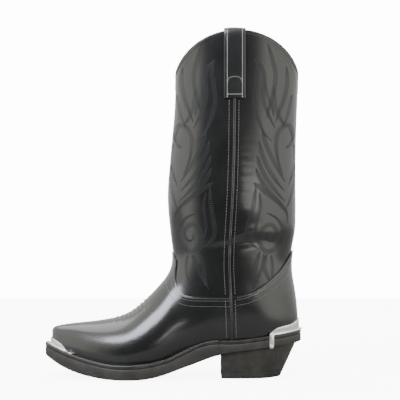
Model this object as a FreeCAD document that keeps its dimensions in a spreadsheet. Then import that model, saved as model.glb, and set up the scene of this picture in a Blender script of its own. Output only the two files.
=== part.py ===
"""Left cowboy boot: leather uppers over a lasted form, welted sole, underslung heel, metal toe and heel guards.

Frame: millimetres, +Z up, toe along -X, lateral (outer) side along -Y.
Origin: centre of the heel's ground face.
"""
import FreeCAD, Part
import math
import os

V = FreeCAD.Vector

# Driving sizes, in millimetres: alias, value, what it is.
DRIVING = [
    ("upper_leather", 1.8, "thickness of the vamp and counter leather"),
    ("shaft_leather", 1.4, "thickness of the shaft leather and the stiffeners"),
    ("lining_leather", 1.2, "thickness of the linings"),
    ("glue_gap", 0.1, "room between two layers of leather"),
    ("welt_thickness", 4.0, "thickness of the welt and the heel rand"),
    ("insole_thickness", 3.0, "thickness of the insole board"),
    ("sock_thickness", 1.8, "thickness of the sock lining"),
    ("heel_breast", -33.0, "x of the front face of the heel"),
    ("heel_end", 34.0, "x of the heel's back edge on the ground"),
    ("heel_half_width", 29.5, "half width of the heel on the ground"),
    ("heel_slope", 0.46, "how far the heel's back leans out per millimetre of height"),
    ("heel_flare", 0.13, "how far the heel's sides lean out per millimetre of height"),
    ("lift_thickness", 7.0, "thickness of the top lift"),
    ("valley_height", 321.0, "height of the scallop's low point, front and back"),
    ("dome_height", 63.0, "rise of the collar from the scallop to the side"),
    ("dome_centre", -15.0, "x of the collar's highest point"),
    ("dome_half_length", 71.5, "half length of the collar's rise"),
    ("binding_height", 1.6, "height of the bead along the collar"),
    ("piping_half_width", 1.6, "half width of the side seam's piping"),
    ("piping_stand", 1.4, "how far the piping stands out of the vamp"),
    ("piping_top", 309.5, "height where the piping goes under the strap"),
    ("strap_width", 24.0, "width of a pull strap"),
    ("strap_centre", -18.3, "x of the middle of a pull strap"),
    ("guard_thickness", 1.25, "thickness of the metal guards"),
    ("guard_gap", 0.15, "room between a guard and the leather"),
    ("toe_guard_end", -203.0, "x of the toe guard's ends"),
    ("toe_guard_height", 8.5, "height of the toe guard at the tip"),
    ("guard_flange_width", 4.2, "width of the toe guard's foot on the welt"),
    ("heel_tab_x", 22.5, "x of the heel guard's screw tab"),
    ("heel_tab_z", 36.5, "height of the heel guard's screw"),
    ("tab_half_width", 2.7, "half width of the screw tab"),
    ("screw_head_radius", 1.9, "radius of a guard screw's head"),
    ("screw_shank_radius", 0.9, "radius of a guard screw's shank"),
    ("screw_length", 6.0, "length of a guard screw under its head"),
    ("shank_width", 14.0, "width of the steel shank"),
    ("shank_start", -92.0, "x of the shank's front end"),
    ("shank_length", 104.0, "length of the shank"),
    ("nail_radius", 1.1, "radius of a heel nail"),
    ("nail_length", 30.0, "length of a heel nail"),
    ("nail_head_radius", 2.8, "radius of a heel nail's head"),
    ("reach", 90.0, "half width of every side-view cutter"),
]

# Stations of the lasted form, toe to collar. Each is a section in a plane square to the side view:
# front x, front z, back x, back z, half width, centre y, height of the widest place (share),
# roundness of the front part, roundness of the back part, and nose (1 at the toe tip, 0 elsewhere).
STATION_FIELDS = ("fx", "fz", "bx", "bz", "half", "mid", "wide", "round_f", "round_b", "nose")
STATIONS = [
    ("tip_a", (-224.0, 50.0, -224.0, 26.0, 2.5, 5.0, 0.50, 2.00, 2.20, 1.00)),
    ("tip_b", (-223.3, 52.5, -223.3, 23.0, 6.5, 5.0, 0.50, 2.10, 2.20, 0.95)),
    ("tip_c", (-221.5, 54.4, -221.5, 20.0, 10.0, 5.0, 0.50, 2.10, 2.20, 0.80)),
    ("tip_d", (-217.5, 56.0, -217.5, 16.0, 14.5, 4.8, 0.50, 2.10, 2.30, 0.50)),
    ("toe_a", (-209.0, 57.6, -209.0, 12.0, 20.0, 4.5, 0.48, 2.10, 2.40, 0.20)),
    ("toe_b", (-195.0, 59.5, -195.0, 8.0, 27.0, 3.5, 0.46, 2.10, 2.40, 0.00)),
    ("toe_c", (-178.0, 61.2, -178.0, 4.0, 34.3, 2.3, 0.44, 2.05, 2.40, 0.00)),
    ("toe_d", (-160.0, 64.0, -160.0, 1.0, 40.5, 1.0, 0.42, 2.00, 2.40, 0.00)),
    ("ball_a", (-140.0, 69.8, -142.0, -1.0, 44.8, -0.5, 0.40, 1.95, 2.40, 0.00)),
    ("ball_b", (-123.5, 81.0, -120.0, -1.0, 46.3, -1.0, 0.40, 1.90, 2.20, 0.00)),
    ("instep_a", (-110.5, 93.4, -95.0, 1.0, 45.0, 0.0, 0.43, 1.90, 2.10, 0.00)),
    ("instep_b", (-99.0, 106.0, -68.0, 8.0, 41.5, 1.0, 0.50, 1.95, 1.95, 0.00)),
    ("instep_c", (-91.3, 117.5, -38.0, 14.0, 39.0, 1.5, 0.50, 2.00, 1.95, 0.00)),
    ("throat", (-88.3, 128.5, -5.0, 12.0, 38.5, 1.0, 0.50, 2.00, 1.95, 0.00)),
    ("ankle_a", (-88.3, 138.5, 30.0, 14.0, 38.8, 0.5, 0.50, 2.05, 2.00, 0.00)),
    ("ankle_b", (-89.6, 148.0, 51.0, 38.0, 39.3, 0.0, 0.48, 2.05, 2.05, 0.00)),
    ("ankle_c", (-91.2, 159.0, 54.0, 66.0, 39.8, 0.0, 0.50, 2.05, 2.00, 0.00)),
    ("heel_a", (-92.8, 173.0, 51.2, 95.0, 40.8, 0.0, 0.50, 2.05, 2.00, 0.00)),
    ("heel_b", (-94.2, 188.0, 47.4, 122.0, 42.4, 0.0, 0.50, 2.05, 2.00, 0.00)),
    ("calf_a", (-94.8, 202.0, 49.8, 147.0, 44.6, 0.0, 0.50, 2.05, 2.05, 0.00)),
    ("calf_b", (-94.3, 218.0, 53.2, 172.0, 46.5, 0.0, 0.50, 2.05, 2.05, 0.00)),
    ("calf_c", (-92.2, 243.0, 53.2, 215.0, 47.3, 0.0, 0.50, 2.05, 2.05, 0.00)),
    ("calf_d", (-89.6, 272.0, 53.6, 258.0, 47.3, 0.0, 0.50, 2.05, 2.05, 0.00)),
    ("calf_e", (-87.2, 300.0, 54.8, 295.0, 46.8, 0.0, 0.50, 2.05, 2.05, 0.00)),
    ("collar_a", (-86.2, 335.0, 56.2, 335.0, 46.3, 0.0, 0.50, 2.05, 2.05, 0.00)),
    ("collar_b", (-86.2, 372.0, 56.2, 372.0, 45.8, 0.0, 0.50, 2.05, 2.05, 0.00)),
    ("collar_c", (-86.2, 410.0, 56.2, 410.0, 45.3, 0.0, 0.50, 2.05, 2.05, 0.00)),
]

# Side-view lines, as (x, z) points that a spline passes through.
LINES = {
    "seat": [(-245, 43), (-200, 26.5), (-160, 17.5), (-126, 17), (-96, 22), (-70, 33.5),
             (-45, 42), (-15, 43), (20, 47.5), (75, 55)],
    "underside": [(-245, 31), (-207, 11), (-172, 2.2), (-137, 0.3), (-106, 3), (-70, 14.5),
                  (-33, 27), (10, 33), (75, 42)],
    "seam": [(-18, 440), (-18.5, 300), (-20, 220), (-24, 135), (-22.5, 90), (-19, -20)],
    "vamp_edge": [(-10, 91), (-23, 91.2), (-68, 91.2), (-79, 96), (-84, 106), (-84.6, 119),
                  (-83.5, 129), (-90, 142), (-104, 158)],
    "counter_edge": [(-40, 91), (-22.5, 91.2), (-5, 95), (13.5, 104), (30.5, 117.5), (41, 130), (57, 151)],
    "front_lap": [(0, 80), (-22, 80), (-60, 80), (-92, 104), (-130, 130)],
    "back_lap": [(-40, 80), (-22, 80), (-2, 84), (16, 93), (34, 107), (60, 131), (90, 155)],
    "toe_guard_top": [(-236, 45.5), (-224, 43.5), (-216, 40), (-210, 35), (-205.5, 29.8), (-196, 22)],
    "heel_guard_top": [(19.8, 45.0), (22.5, 50.5), (28, 55.5), (34, 57.6), (46, 60.2), (58, 66), (70, 72)],
    "heel_guard_foot": [(70, 54), (46, 49), (36, 47.5), (25.2, 45.0)],
}

# Plan outline of the sole and welt, clockwise from the toe tip, lateral side first: (x, y).
SOLE_PLAN = [(-231.5, 5), (-226, -6.5), (-208, -22), (-172, -40), (-135, -50.5), (-95, -44),
             (-55, -35.3), (-5, -35.8), (35, -28.8), (57.5, 0), (35, 28.8), (-5, 36.8),
             (-55, 38.5), (-95, 43.5), (-135, 49.3), (-172, 43), (-208, 31), (-226, 16.5)]

# Section of a pull strap across the collar: (y, z) of its outer face, outside to inside.
STRAP_FACE = [(46.8, 310), (46.9, 345), (46.5, 379), (42.4, 387.6), (38.0, 384), (29.5, 371),
              (27.4, 358), (31.0, 343), (37.2, 331), (39.5, 321), (39.6, 310)]
STRAP_BACK = [(44.8, 310), (44.9, 345), (44.6, 378), (42.4, 385.6), (39.4, 382.4), (31.4, 370),
              (29.4, 358), (33.0, 344.5), (39.0, 332.5), (41.3, 322), (41.4, 310)]

HEEL_NAILS = [(-14, -17), (-14, 17), (14, -16), (14, 16), (34, 0)]

doc = FreeCAD.newDocument("cowboy_boot")
sheet = doc.addObject("Spreadsheet::Sheet", "Sizes")


def fill_sheet():
    """Writes every driving size and every station of the form into the sheet."""
    for row, (alias, value, note) in enumerate(DRIVING, start=1):
        sheet.set(f"A{row}", note)
        sheet.set(f"B{row}", str(value))
        sheet.setAlias(f"B{row}", alias)
    first = len(DRIVING) + 3
    for row, (name, values) in enumerate(STATIONS, start=first):
        sheet.set(f"A{row}", name)
        for column, (field, value) in enumerate(zip(STATION_FIELDS, values)):
            cell = f"{'BCDEFGHIJK'[column]}{row}"
            sheet.set(cell, str(value))
            sheet.setAlias(cell, f"{name}_{field}")
    doc.recompute()


def size(alias):
    """A size from the sheet, as a plain number."""
    return float(sheet.get(alias))


def feature(name, shape):
    """A Part::Feature that holds a shape made by this file."""
    thing = doc.addObject("Part::Feature", name)
    thing.Shape = shape
    return thing


def combine(kind, name, base, tool):
    """A Part boolean of two objects."""
    thing = doc.addObject(kind, name)
    thing.Base, thing.Tool = base, tool
    doc.recompute()
    return thing


def common(name, base, tool):
    return combine("Part::Common", name, base, tool)


def cut(name, base, tool):
    return combine("Part::Cut", name, base, tool)


# ---------------------------------------------------------------- the lasted form

ARC_STEPS = 12
LOFT_DEGREE = 2  # a higher degree ripples along the back of the shaft


def station_wire(name, inset):
    """The closed section of one station, with its skin moved in by inset."""
    s = {field: size(f"{name}_{field}") for field in STATION_FIELDS}
    front, back = V(s["fx"], 0, s["fz"]), V(s["bx"], 0, s["bz"])
    if name == "collar_c":
        front.z += 2 * inset
        back.z += 2 * inset
    along = front - back
    length = along.Length
    along.normalize()
    shrink = inset * (1 - s["nose"])
    back = back + along * shrink
    length -= 2 * shrink
    half = s["half"] - shrink
    step_back = inset * s["nose"]
    lateral, medial = [], []
    for i in range(ARC_STEPS + 1):
        angle = math.pi * i / ARC_STEPS
        rise, out = -math.cos(angle), math.sin(angle)
        power = 2 / (s["round_f"] if rise > 0 else s["round_b"])
        height = math.copysign(abs(rise) ** power, rise)
        reach = (1 - s["wide"]) * length if rise > 0 else s["wide"] * length
        place = back + along * (s["wide"] * length + height * reach)
        width = half * abs(out) ** power
        lateral.append(place + V(step_back, s["mid"] - width, 0))
        medial.append(place + V(step_back, s["mid"] + width, 0))
    edges = []
    steps = [float(i) for i in range(ARC_STEPS + 1)]
    for points in (lateral, list(reversed(medial))):
        curve = Part.BSplineCurve()
        curve.interpolate(Points=points, Parameters=steps)
        edges.append(curve.toShape())
    return Part.Wire(edges)


FORMS = {}


def form(inset):
    """The solid of the form with its skin moved in by inset."""
    key = round(inset, 3)
    if key not in FORMS:
        wires = [station_wire(name, inset) for name, _ in STATIONS]
        FORMS[key] = feature(f"form_{len(FORMS)}", Part.makeLoft(wires, True, False, False, LOFT_DEGREE))
    return FORMS[key]


def layer(name, outer, inner):
    """A skin of leather between two insets of the form."""
    return cut(name, form(outer), form(inner))


# ---------------------------------------------------------------- side-view regions

LEFT, RIGHT, FLOOR, SKY = -300.0, 150.0, -20.0, 440.0
HALF_ROOM = 200.0  # further out sideways than any piece
PRISM_HEIGHT = 100.0  # taller than any cut near the sole
HEEL_BLANK_HEIGHT = 60.0
HEAD_HEIGHT = 1.0  # of nails and screws
SHANK_LOW, SHANK_HIGH = -3.3, -1.2  # the shank's faces, above the seat line
GUARD_FOOT = 0.9  # thickness of the toe guard's foot
TOE_SCREW_BACK = 2.4  # from the toe guard's ends
TOE_SCREW_Y = (("lateral", -22.2), ("medial", 29.8))
SCREW_SUNK = 0.2  # how far a heel screw's head sits in the tab


def spline(points, dx=0.0, dz=0.0):
    curve = Part.BSplineCurve()
    curve.interpolate([V(x + dx, 0, z + dz) for x, z in points])
    return curve.toShape()


def closed_face(edge, *corners):
    """The face between an edge and the corners that lead from its end back to its start."""
    start, end = edge.valueAt(edge.FirstParameter), edge.valueAt(edge.LastParameter)
    points = [end, *[V(x, 0, z) for x, z in corners], start]
    lines = [Part.makeLine(a, b) for a, b in zip(points, points[1:])]
    return Part.Face(Part.Wire([edge, *lines]))


def below(line, dz=0.0):
    """Everything under a line that runs across the side view."""
    edge = spline(LINES[line], dz=dz)
    start, end = edge.valueAt(edge.FirstParameter), edge.valueAt(edge.LastParameter)
    outer_start = LEFT if start.x < end.x else RIGHT
    outer_end = RIGHT if start.x < end.x else LEFT
    return closed_face(edge, (outer_end, end.z), (outer_end, FLOOR - 60),
                       (outer_start, FLOOR - 60), (outer_start, start.z))


def everything():
    return closed_face(Part.makeLine(V(LEFT, 0, FLOOR), V(RIGHT, 0, FLOOR)), (RIGHT, SKY), (LEFT, SKY))


def above(line, dz=0.0):
    return everything().cut(below(line, dz))


def ahead(dx=0.0):
    """Everything on the toe's side of the side seam."""
    return closed_face(spline(LINES["seam"], dx=dx), (LEFT, FLOOR), (LEFT, SKY))


def behind(dx=0.0):
    return everything().cut(ahead(dx))


def under_collar(rise=0.0):
    """Everything under the scalloped collar line."""
    centre, half = size("dome_centre"), size("dome_half_length")
    low, tall = size("valley_height") + rise, size("dome_height")
    turns = [math.pi * i / 12 for i in range(13)]
    points = [(centre - half * math.cos(a), low + tall * math.sin(a)) for a in turns]
    return closed_face(spline(points), (RIGHT, low), (RIGHT, FLOOR), (LEFT, FLOOR), (LEFT, low))


def box_region(x0, z0, x1, z1):
    return closed_face(Part.makeLine(V(x0, 0, z0), V(x1, 0, z0)), (x1, z1), (x0, z1))


def cutter(name, *regions):
    """A prism across the boot over the area that all the regions share."""
    face = regions[0]
    for region in regions[1:]:
        face = face.common(region)
    outline = feature(f"{name}_outline", face)
    prism = doc.addObject("Part::Extrusion", f"{name}_cutter")
    prism.Base = outline
    prism.Dir = V(0, 1, 0)
    prism.Solid = True
    prism.setExpression("LengthFwd", "Sizes.reach")
    prism.setExpression("LengthRev", "Sizes.reach")
    doc.recompute()
    return prism


SUBPARTS = {}


def subpart(node, thing):
    """Marks an object as a sub-part: its Label names its file."""
    thing.Label = node
    SUBPARTS[node] = thing
    return thing


def one_side(node, thing, side):
    """The solids of an object that lie on one side of the boot: -1 lateral, +1 medial."""
    solids = [s for s in thing.Shape.Solids if s.CenterOfMass.y * side > 0]
    return subpart(node, feature(f"{node}_solids", Part.makeCompound(solids)))


# ---------------------------------------------------------------- uppers


def uppers():
    gap = size("glue_gap")
    outer_in = size("upper_leather")
    middle_out = outer_in + gap
    middle_in = middle_out + size("shaft_leather")
    lining_out = middle_in + gap
    lining_in = lining_out + size("lining_leather")
    edge = size("piping_half_width") + gap
    outer = layer("upper_layer", 0.0, outer_in)
    middle = layer("middle_layer", middle_out, middle_in)
    lining = layer("lining_layer", lining_out, lining_in)
    seat = above("seat")

    subpart("vamp", common("vamp", outer, cutter("vamp", seat, below("vamp_edge"), ahead(-edge))))
    subpart("heel_counter_cover", common("heel_counter_cover", outer, cutter(
        "counter", seat, below("counter_edge"), behind(edge))))
    subpart("front_shaft", common("front_shaft", middle, cutter(
        "front_shaft", above("front_lap"), under_collar(), ahead(-gap / 2))))
    subpart("back_shaft", common("back_shaft", middle, cutter(
        "back_shaft", above("back_lap"), under_collar(), behind(gap / 2))))
    subpart("toe_box", common("toe_box", middle, cutter(
        "toe_box", seat, box_region(LEFT, FLOOR, -168, 90))))
    subpart("vamp_interlining", common("vamp_interlining", middle, cutter(
        "interlining", seat, below("front_lap", -1.0), box_region(-167.5, FLOOR, RIGHT, SKY), ahead(-gap / 2))))
    subpart("heel_counter_stiffener", common("heel_counter_stiffener", middle, cutter(
        "stiffener", seat, below("back_lap", -1.0), behind(gap / 2))))
    subpart("vamp_lining", common("vamp_lining", lining, cutter(
        "vamp_lining", seat, below("front_lap"), ahead(-gap / 2))))
    subpart("heel_lining", common("heel_lining", lining, cutter(
        "heel_lining", seat, below("back_lap"), behind(gap / 2))))
    subpart("front_shaft_lining", common("front_shaft_lining", lining, cutter(
        "front_shaft_lining", above("front_lap", gap), under_collar(), ahead(-gap / 2))))
    subpart("back_shaft_lining", common("back_shaft_lining", lining, cutter(
        "back_shaft_lining", above("back_lap", gap), under_collar(), behind(gap / 2))))

    bead = layer("binding_layer", middle_out - 0.8, lining_in + 0.8)
    rise = size("binding_height")
    ring = under_collar(rise).cut(under_collar(gap / 2)).common(box_region(LEFT, 300, RIGHT, SKY))
    subpart("collar_binding", common("collar_binding", bead, cutter("binding", ring)))

    strip = layer("piping_layer", -size("piping_stand"), outer_in)
    half = size("piping_half_width")
    tall = box_region(LEFT, FLOOR, RIGHT, size("piping_top"))
    pair = common("side_piping", strip, cutter("piping", behind(-half), ahead(half), seat, tall))
    one_side("side_piping_lateral", pair, -1)
    one_side("side_piping_medial", pair, 1)
    return lining_in


# ---------------------------------------------------------------- pull straps


def strap(node, side):
    """A looped strap: a ribbon section in the YZ plane, padded along X."""
    body = doc.addObject("PartDesign::Body", node)
    sketch = body.newObject("Sketcher::SketchObject", f"{node}_section")
    plane = next(f for f in body.Origin.OriginFeatures if f.Role == "YZ_Plane")
    sketch.AttachmentSupport = [(plane, "")]
    sketch.MapMode = "FlatFace"
    face_points = [V(side * y, z, 0) for y, z in STRAP_FACE]
    back_points = [V(side * y, z, 0) for y, z in STRAP_BACK]
    for points in (face_points, list(reversed(back_points))):
        curve = Part.BSplineCurve()
        curve.interpolate(points)
        sketch.addGeometry(curve, False)
    sketch.addGeometry(Part.LineSegment(face_points[-1], back_points[-1]), False)
    sketch.addGeometry(Part.LineSegment(back_points[0], face_points[0]), False)
    pad = body.newObject("PartDesign::Pad", f"{node}_pad")
    pad.Profile = sketch
    pad.SideType = "Symmetric"
    pad.setExpression("Length", "Sizes.strap_width")
    body.Tip = pad
    body.setExpression("Placement.Base.x", "Sizes.strap_centre")
    doc.recompute()
    return subpart(node, body)


# ---------------------------------------------------------------- bottom


def plan_prism():
    curve = Part.BSplineCurve()
    curve.interpolate(Points=[V(x, y, FLOOR) for x, y in SOLE_PLAN], PeriodicFlag=True)
    outline = feature("sole_outline", Part.Face(Part.Wire(curve.toShape())))
    prism = doc.addObject("Part::Extrusion", "sole_prism")
    prism.Base = outline
    prism.Dir = V(0, 0, 1)
    prism.LengthFwd = PRISM_HEIGHT
    prism.Solid = True
    doc.recompute()
    return prism


def heel_section(z):
    """The heel's D-shaped outline at a height."""
    front = size("heel_breast")
    back = size("heel_end") + size("heel_slope") * z
    half = size("heel_half_width") + size("heel_flare") * z
    side = [V(front, -half + 1.0, z), V((front + back) / 2 - 8, -half, z),
            V(back - half * 0.55, -half * 0.82, z), V(back, 0, z)]
    points = side + [V(p.x, -p.y, p.z) for p in reversed(side[:-1])]
    curve = Part.BSplineCurve()
    curve.interpolate(points)
    return Part.Wire([curve.toShape(), Part.makeLine(points[-1], points[0])])


def nail(place, top):
    """A headed nail, as a cylinder with a flat head."""
    shaft = doc.addObject("Part::Cylinder", "nail_shaft")
    shaft.setExpression("Radius", "Sizes.nail_radius")
    shaft.setExpression("Height", "Sizes.nail_length")
    shaft.Placement.Base = V(place[0], place[1], top - size("nail_length"))
    head = doc.addObject("Part::Cylinder", "nail_head")
    head.setExpression("Radius", "Sizes.nail_head_radius")
    head.Height = HEAD_HEIGHT
    head.Placement.Base = V(place[0], place[1], top - HEAD_HEIGHT)
    fused = doc.addObject("Part::Fuse", "nail")
    fused.Base, fused.Tool = shaft, head
    return fused


def seat_height(x):
    line = Part.makeLine(V(x, 0, FLOOR), V(x, 0, SKY))
    return line.distToShape(spline(LINES["seat"]))[1][0][0].z


def bottom(lining_in):
    gap = size("glue_gap")
    welt, insole = size("welt_thickness"), size("insole_thickness")
    breast = size("heel_breast")
    plan = plan_prism()
    ahead_of_heel = box_region(LEFT, FLOOR, breast, SKY)
    over_heel = box_region(breast + gap, FLOOR, RIGHT, SKY)

    band = above("seat", -welt).common(below("seat"))
    rim = cut("rim", common("rim_blank", plan, cutter("rim", band)), form(-gap / 2))
    subpart("welt", common("welt", rim, cutter("welt", ahead_of_heel)))
    subpart("heel_rand", common("heel_rand", rim, cutter("rand", over_heel)))

    nails = [nail(p, seat_height(p[0]) + insole - 0.4) for p in HEEL_NAILS]
    group = doc.addObject("Part::Compound", "heel_nail_group")
    group.Links = nails
    doc.recompute()
    subpart("heel_nails", group)

    shank_slot = cutter("shank", above("seat", SHANK_LOW).common(below("seat", SHANK_HIGH)))
    bar = doc.addObject("Part::Box", "shank_blank")
    bar.setExpression("Length", "Sizes.shank_length")
    bar.setExpression("Width", "Sizes.shank_width")
    bar.Height = HEEL_BLANK_HEIGHT
    bar.setExpression("Placement.Base.x", "Sizes.shank_start")
    bar.setExpression("Placement.Base.y", "-Sizes.shank_width / 2")
    doc.recompute()
    shank = subpart("steel_shank", common("steel_shank", bar, shank_slot))

    fill_band = above("seat", gap - welt).common(below("seat", -gap))
    filler = common("filler_blank", form(gap), cutter("filler", fill_band))
    filler = cut("filler_slotted", filler, shank)
    subpart("cork_filler", cut("cork_filler", filler, group))

    board = common("insole_blank", form(lining_in + gap), cutter(
        "insole", above("seat", gap).common(below("seat", insole))))
    subpart("insole", cut("insole", board, group))
    sock_top = insole + size("sock_thickness")
    subpart("sock_lining", common("sock_lining", form(lining_in + 2 * gap), cutter(
        "sock", above("seat", insole + gap).common(below("seat", sock_top)))))

    sole_band = above("underside").common(below("seat", -welt - 0.02))
    sole = common("outsole_blank", plan, cutter("outsole", sole_band))
    subpart("outsole", cut("outsole", sole, group))

    ends = [heel_section(0.0), heel_section(HEEL_BLANK_HEIGHT)]
    blank = feature("heel_blank", Part.makeLoft(ends, True, True, False))
    lift = size("lift_thickness")
    block = common("heel_block", blank, cutter("heel", below("underside", -0.02).common(
        box_region(LEFT, lift + 0.02, RIGHT, SKY))))
    subpart("heel_base", cut("heel_base", block, group))
    subpart("top_lift", common("top_lift", blank, cutter("lift", box_region(LEFT, -0.001, RIGHT, lift))))


# ---------------------------------------------------------------- metal guards


def screw(node_part, place, axis):
    """A guard screw: a low domed head with a slot, on a plain shank along axis."""
    head = doc.addObject("Part::Cylinder", f"{node_part}_head")
    head.setExpression("Radius", "Sizes.screw_head_radius")
    head.Height = HEAD_HEIGHT
    shank = doc.addObject("Part::Cylinder", f"{node_part}_shank")
    shank.setExpression("Radius", "Sizes.screw_shank_radius")
    shank.setExpression("Height", "Sizes.screw_length")
    shank.Placement.Base = V(0, 0, -size("screw_length"))
    slot = doc.addObject("Part::Box", f"{node_part}_slot")
    slot.Length, slot.Width, slot.Height = 6, 0.5, 0.6
    slot.Placement.Base = V(-3, -0.25, 0.6)
    whole = doc.addObject("Part::Fuse", f"{node_part}_whole")
    whole.Base, whole.Tool = head, shank
    made = doc.addObject("Part::Cut", node_part)
    made.Base, made.Tool = whole, slot
    made.Placement = FreeCAD.Placement(V(*place), FreeCAD.Rotation(V(0, 0, 1), V(*axis)))
    return made


def grown_plan(name, margin):
    """The heel's part of the sole outline, moved outwards."""
    curve = Part.BSplineCurve()
    points = []
    for x, y in SOLE_PLAN:
        away = V(x - max(min(x, 20), -200), y, 0)
        away.normalize()
        points.append(V(x, y, FLOOR) + away * margin)
    curve.interpolate(Points=points, PeriodicFlag=True)
    face = Part.Face(Part.Wire(curve.toShape()))
    return feature(name, face.extrude(V(0, 0, PRISM_HEIGHT)))


def toe_guard():
    gap, thick = size("guard_gap"), size("guard_thickness")
    end = size("toe_guard_end")
    near = box_region(LEFT, FLOOR, end, PRISM_HEIGHT)
    wall_zone = above("seat", gap).common(below("toe_guard_top")).common(near)
    outer = common("toe_guard_outer", form(-gap - thick), cutter("toe_near", near))
    skin = cut("toe_guard_skin", outer, form(-gap))
    wall = common("toe_guard_wall", skin, cutter("toe_wall", wall_zone))
    foot_zone = above("seat", gap).common(below("seat", gap + GUARD_FOOT)).common(near)
    foot_outer = common("toe_foot_outer", form(-gap - size("guard_flange_width")), cutter("toe_foot", foot_zone))
    foot = cut("toe_foot", foot_outer, form(-gap))
    fused = doc.addObject("Part::Fuse", "toe_guard")
    fused.Base, fused.Tool = wall, foot
    doc.recompute()
    x = end - TOE_SCREW_BACK
    z = seat_height(x) + gap + GUARD_FOOT
    screws = [screw(f"toe_screw_{name}", (x, y, z), (0.3, 0, 1)) for name, y in TOE_SCREW_Y]
    doc.recompute()
    pair = doc.addObject("Part::Compound", "toe_screw_pair")
    pair.Links = screws
    doc.recompute()
    subpart("toe_guard_screws", pair)
    subpart("toe_guard", cut("toe_guard_drilled", fused, pair))


def heel_guard():
    gap, thick = size("guard_gap"), size("guard_thickness")
    x, z, half = size("heel_tab_x"), size("heel_tab_z"), size("tab_half_width")
    front = box_region(x - half, FLOOR, RIGHT, PRISM_HEIGHT)

    wall_zone = above("seat", gap).common(below("heel_guard_top")).common(front)
    outer = common("heel_guard_outer", form(-gap - thick), cutter("heel_near", front))
    wall = common("heel_guard_wall", cut("heel_guard_skin", outer, form(-gap)), cutter("heel_wall", wall_zone))

    shelf_zone = above("seat", gap).common(below("seat", gap + thick)).common(front)
    tab_outer, tab_inner = grown_plan("heel_tab_outer", gap + thick), grown_plan("heel_tab_inner", gap)
    shelf_blank = common("heel_shelf_blank", tab_outer, cutter("heel_shelf", shelf_zone))
    shelf = cut("heel_shelf", shelf_blank, form(-gap))

    low_arc = Part.Arc(V(x + half, 0, z), V(x, 0, z - half), V(x - half, 0, z)).toShape()
    top = seat_height(x) + gap + thick
    tab_zone = closed_face(low_arc, (x - half, top), (x + half, top))
    tab = common("heel_tab", cut("heel_tab_skin", tab_outer, tab_inner), cutter("heel_tab", tab_zone))

    joined = doc.addObject("Part::MultiFuse", "heel_guard_whole")
    joined.Shapes = [wall, shelf, tab]
    doc.recompute()
    screws = []
    for name, side in (("lateral", -1), ("medial", 1)):
        across = Part.makeLine(V(x, 0, z), V(x, side * HALF_ROOM, z)).common(tab.Shape)
        reach = max(abs(v.Y) for v in across.Vertexes)
        screws.append(screw(f"heel_screw_{name}", (x, side * (reach - SCREW_SUNK), z), (0.25, side, 0)))
    doc.recompute()
    pair = doc.addObject("Part::Compound", "heel_screw_pair")
    pair.Links = screws
    doc.recompute()
    subpart("heel_guard_screws", pair)
    subpart("heel_guard", cut("heel_guard", joined, pair))


def check_and_write():
    """Stops if any object failed, then writes one STEP file for each sub-part."""
    failed = [o.Name for o in doc.Objects if "Invalid" in o.State or "Error" in o.State]
    for node, thing in SUBPARTS.items():
        shape = thing.Shape
        good = not shape.isNull() and shape.isValid() and shape.Solids
        if not good:
            failed.append(node)
            continue
        box = shape.BoundBox
        print(f"{node}: {len(shape.Solids)} solid(s), {shape.Volume / 1000:.2f} cm3,"
              f" x {box.XMin:.1f}..{box.XMax:.1f} y {box.YMin:.1f}..{box.YMax:.1f} z {box.ZMin:.1f}..{box.ZMax:.1f}")
    if failed:
        raise SystemExit(f"failed: {failed}")
    os.makedirs("parts", exist_ok=True)
    for node, thing in SUBPARTS.items():
        thing.Shape.exportStep(f"parts/{node}.step")


fill_sheet()
inner_face = uppers()
strap("pull_strap_lateral", -1)
strap("pull_strap_medial", 1)
bottom(inner_face)
toe_guard()
heel_guard()
doc.recompute()
check_and_write()
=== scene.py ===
# %% [markdown]
# # A cowboy boot, piece by piece
#
# A western boot is leather stretched over a wooden last, stitched, welted and nailed. This lesson dresses
# a finished CAD model of one. The hidden pieces keep their CAD shape, and every piece that shows is made
# again here with its real thickness, its rounded edges and its thread.

# %% Load the frame
import math

import bpy
import numpy as np
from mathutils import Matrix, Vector
from mathutils.geometry import delaunay_2d_cdt


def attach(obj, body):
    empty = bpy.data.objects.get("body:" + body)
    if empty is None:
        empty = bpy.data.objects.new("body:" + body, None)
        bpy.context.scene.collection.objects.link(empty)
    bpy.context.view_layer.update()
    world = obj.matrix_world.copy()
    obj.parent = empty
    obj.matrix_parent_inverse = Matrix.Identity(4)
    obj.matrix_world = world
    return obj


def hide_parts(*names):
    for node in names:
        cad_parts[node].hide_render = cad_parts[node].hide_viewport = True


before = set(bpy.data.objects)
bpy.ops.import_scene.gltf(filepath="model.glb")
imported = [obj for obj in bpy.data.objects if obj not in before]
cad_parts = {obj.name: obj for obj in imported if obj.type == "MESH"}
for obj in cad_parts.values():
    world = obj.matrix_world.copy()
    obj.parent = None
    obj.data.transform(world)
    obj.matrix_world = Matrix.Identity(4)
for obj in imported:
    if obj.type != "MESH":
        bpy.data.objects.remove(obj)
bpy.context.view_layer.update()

# %% [markdown]
# ## Tools for the bench
#
# Sizes below are millimetres, as a bootmaker would say them, and MM turns them into Blender's metres.
# Operators act on whatever is selected, so each helper starts by clearing the selection.

# %% Units and small helpers
MM = 0.001


def deselect():
    """Leaves edit mode and clears the selection."""
    if bpy.context.object and bpy.context.object.mode != "OBJECT":
        bpy.ops.object.mode_set(mode="OBJECT")
    bpy.ops.object.select_all(action="DESELECT")


def pick(piece):
    """Makes one piece the only selected and active one."""
    deselect()
    piece.select_set(True)
    bpy.context.view_layer.objects.active = piece


def new_piece(name, vertices, faces):
    """An object made from a list of vertices in millimetres."""
    mesh = bpy.data.meshes.new(name)
    mesh.from_pydata((np.asarray(vertices, float) * MM).tolist(), [], [list(f) for f in faces])
    piece = bpy.data.objects.new(name, mesh)
    bpy.context.scene.collection.objects.link(piece)
    pick(piece)
    return piece


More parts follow.
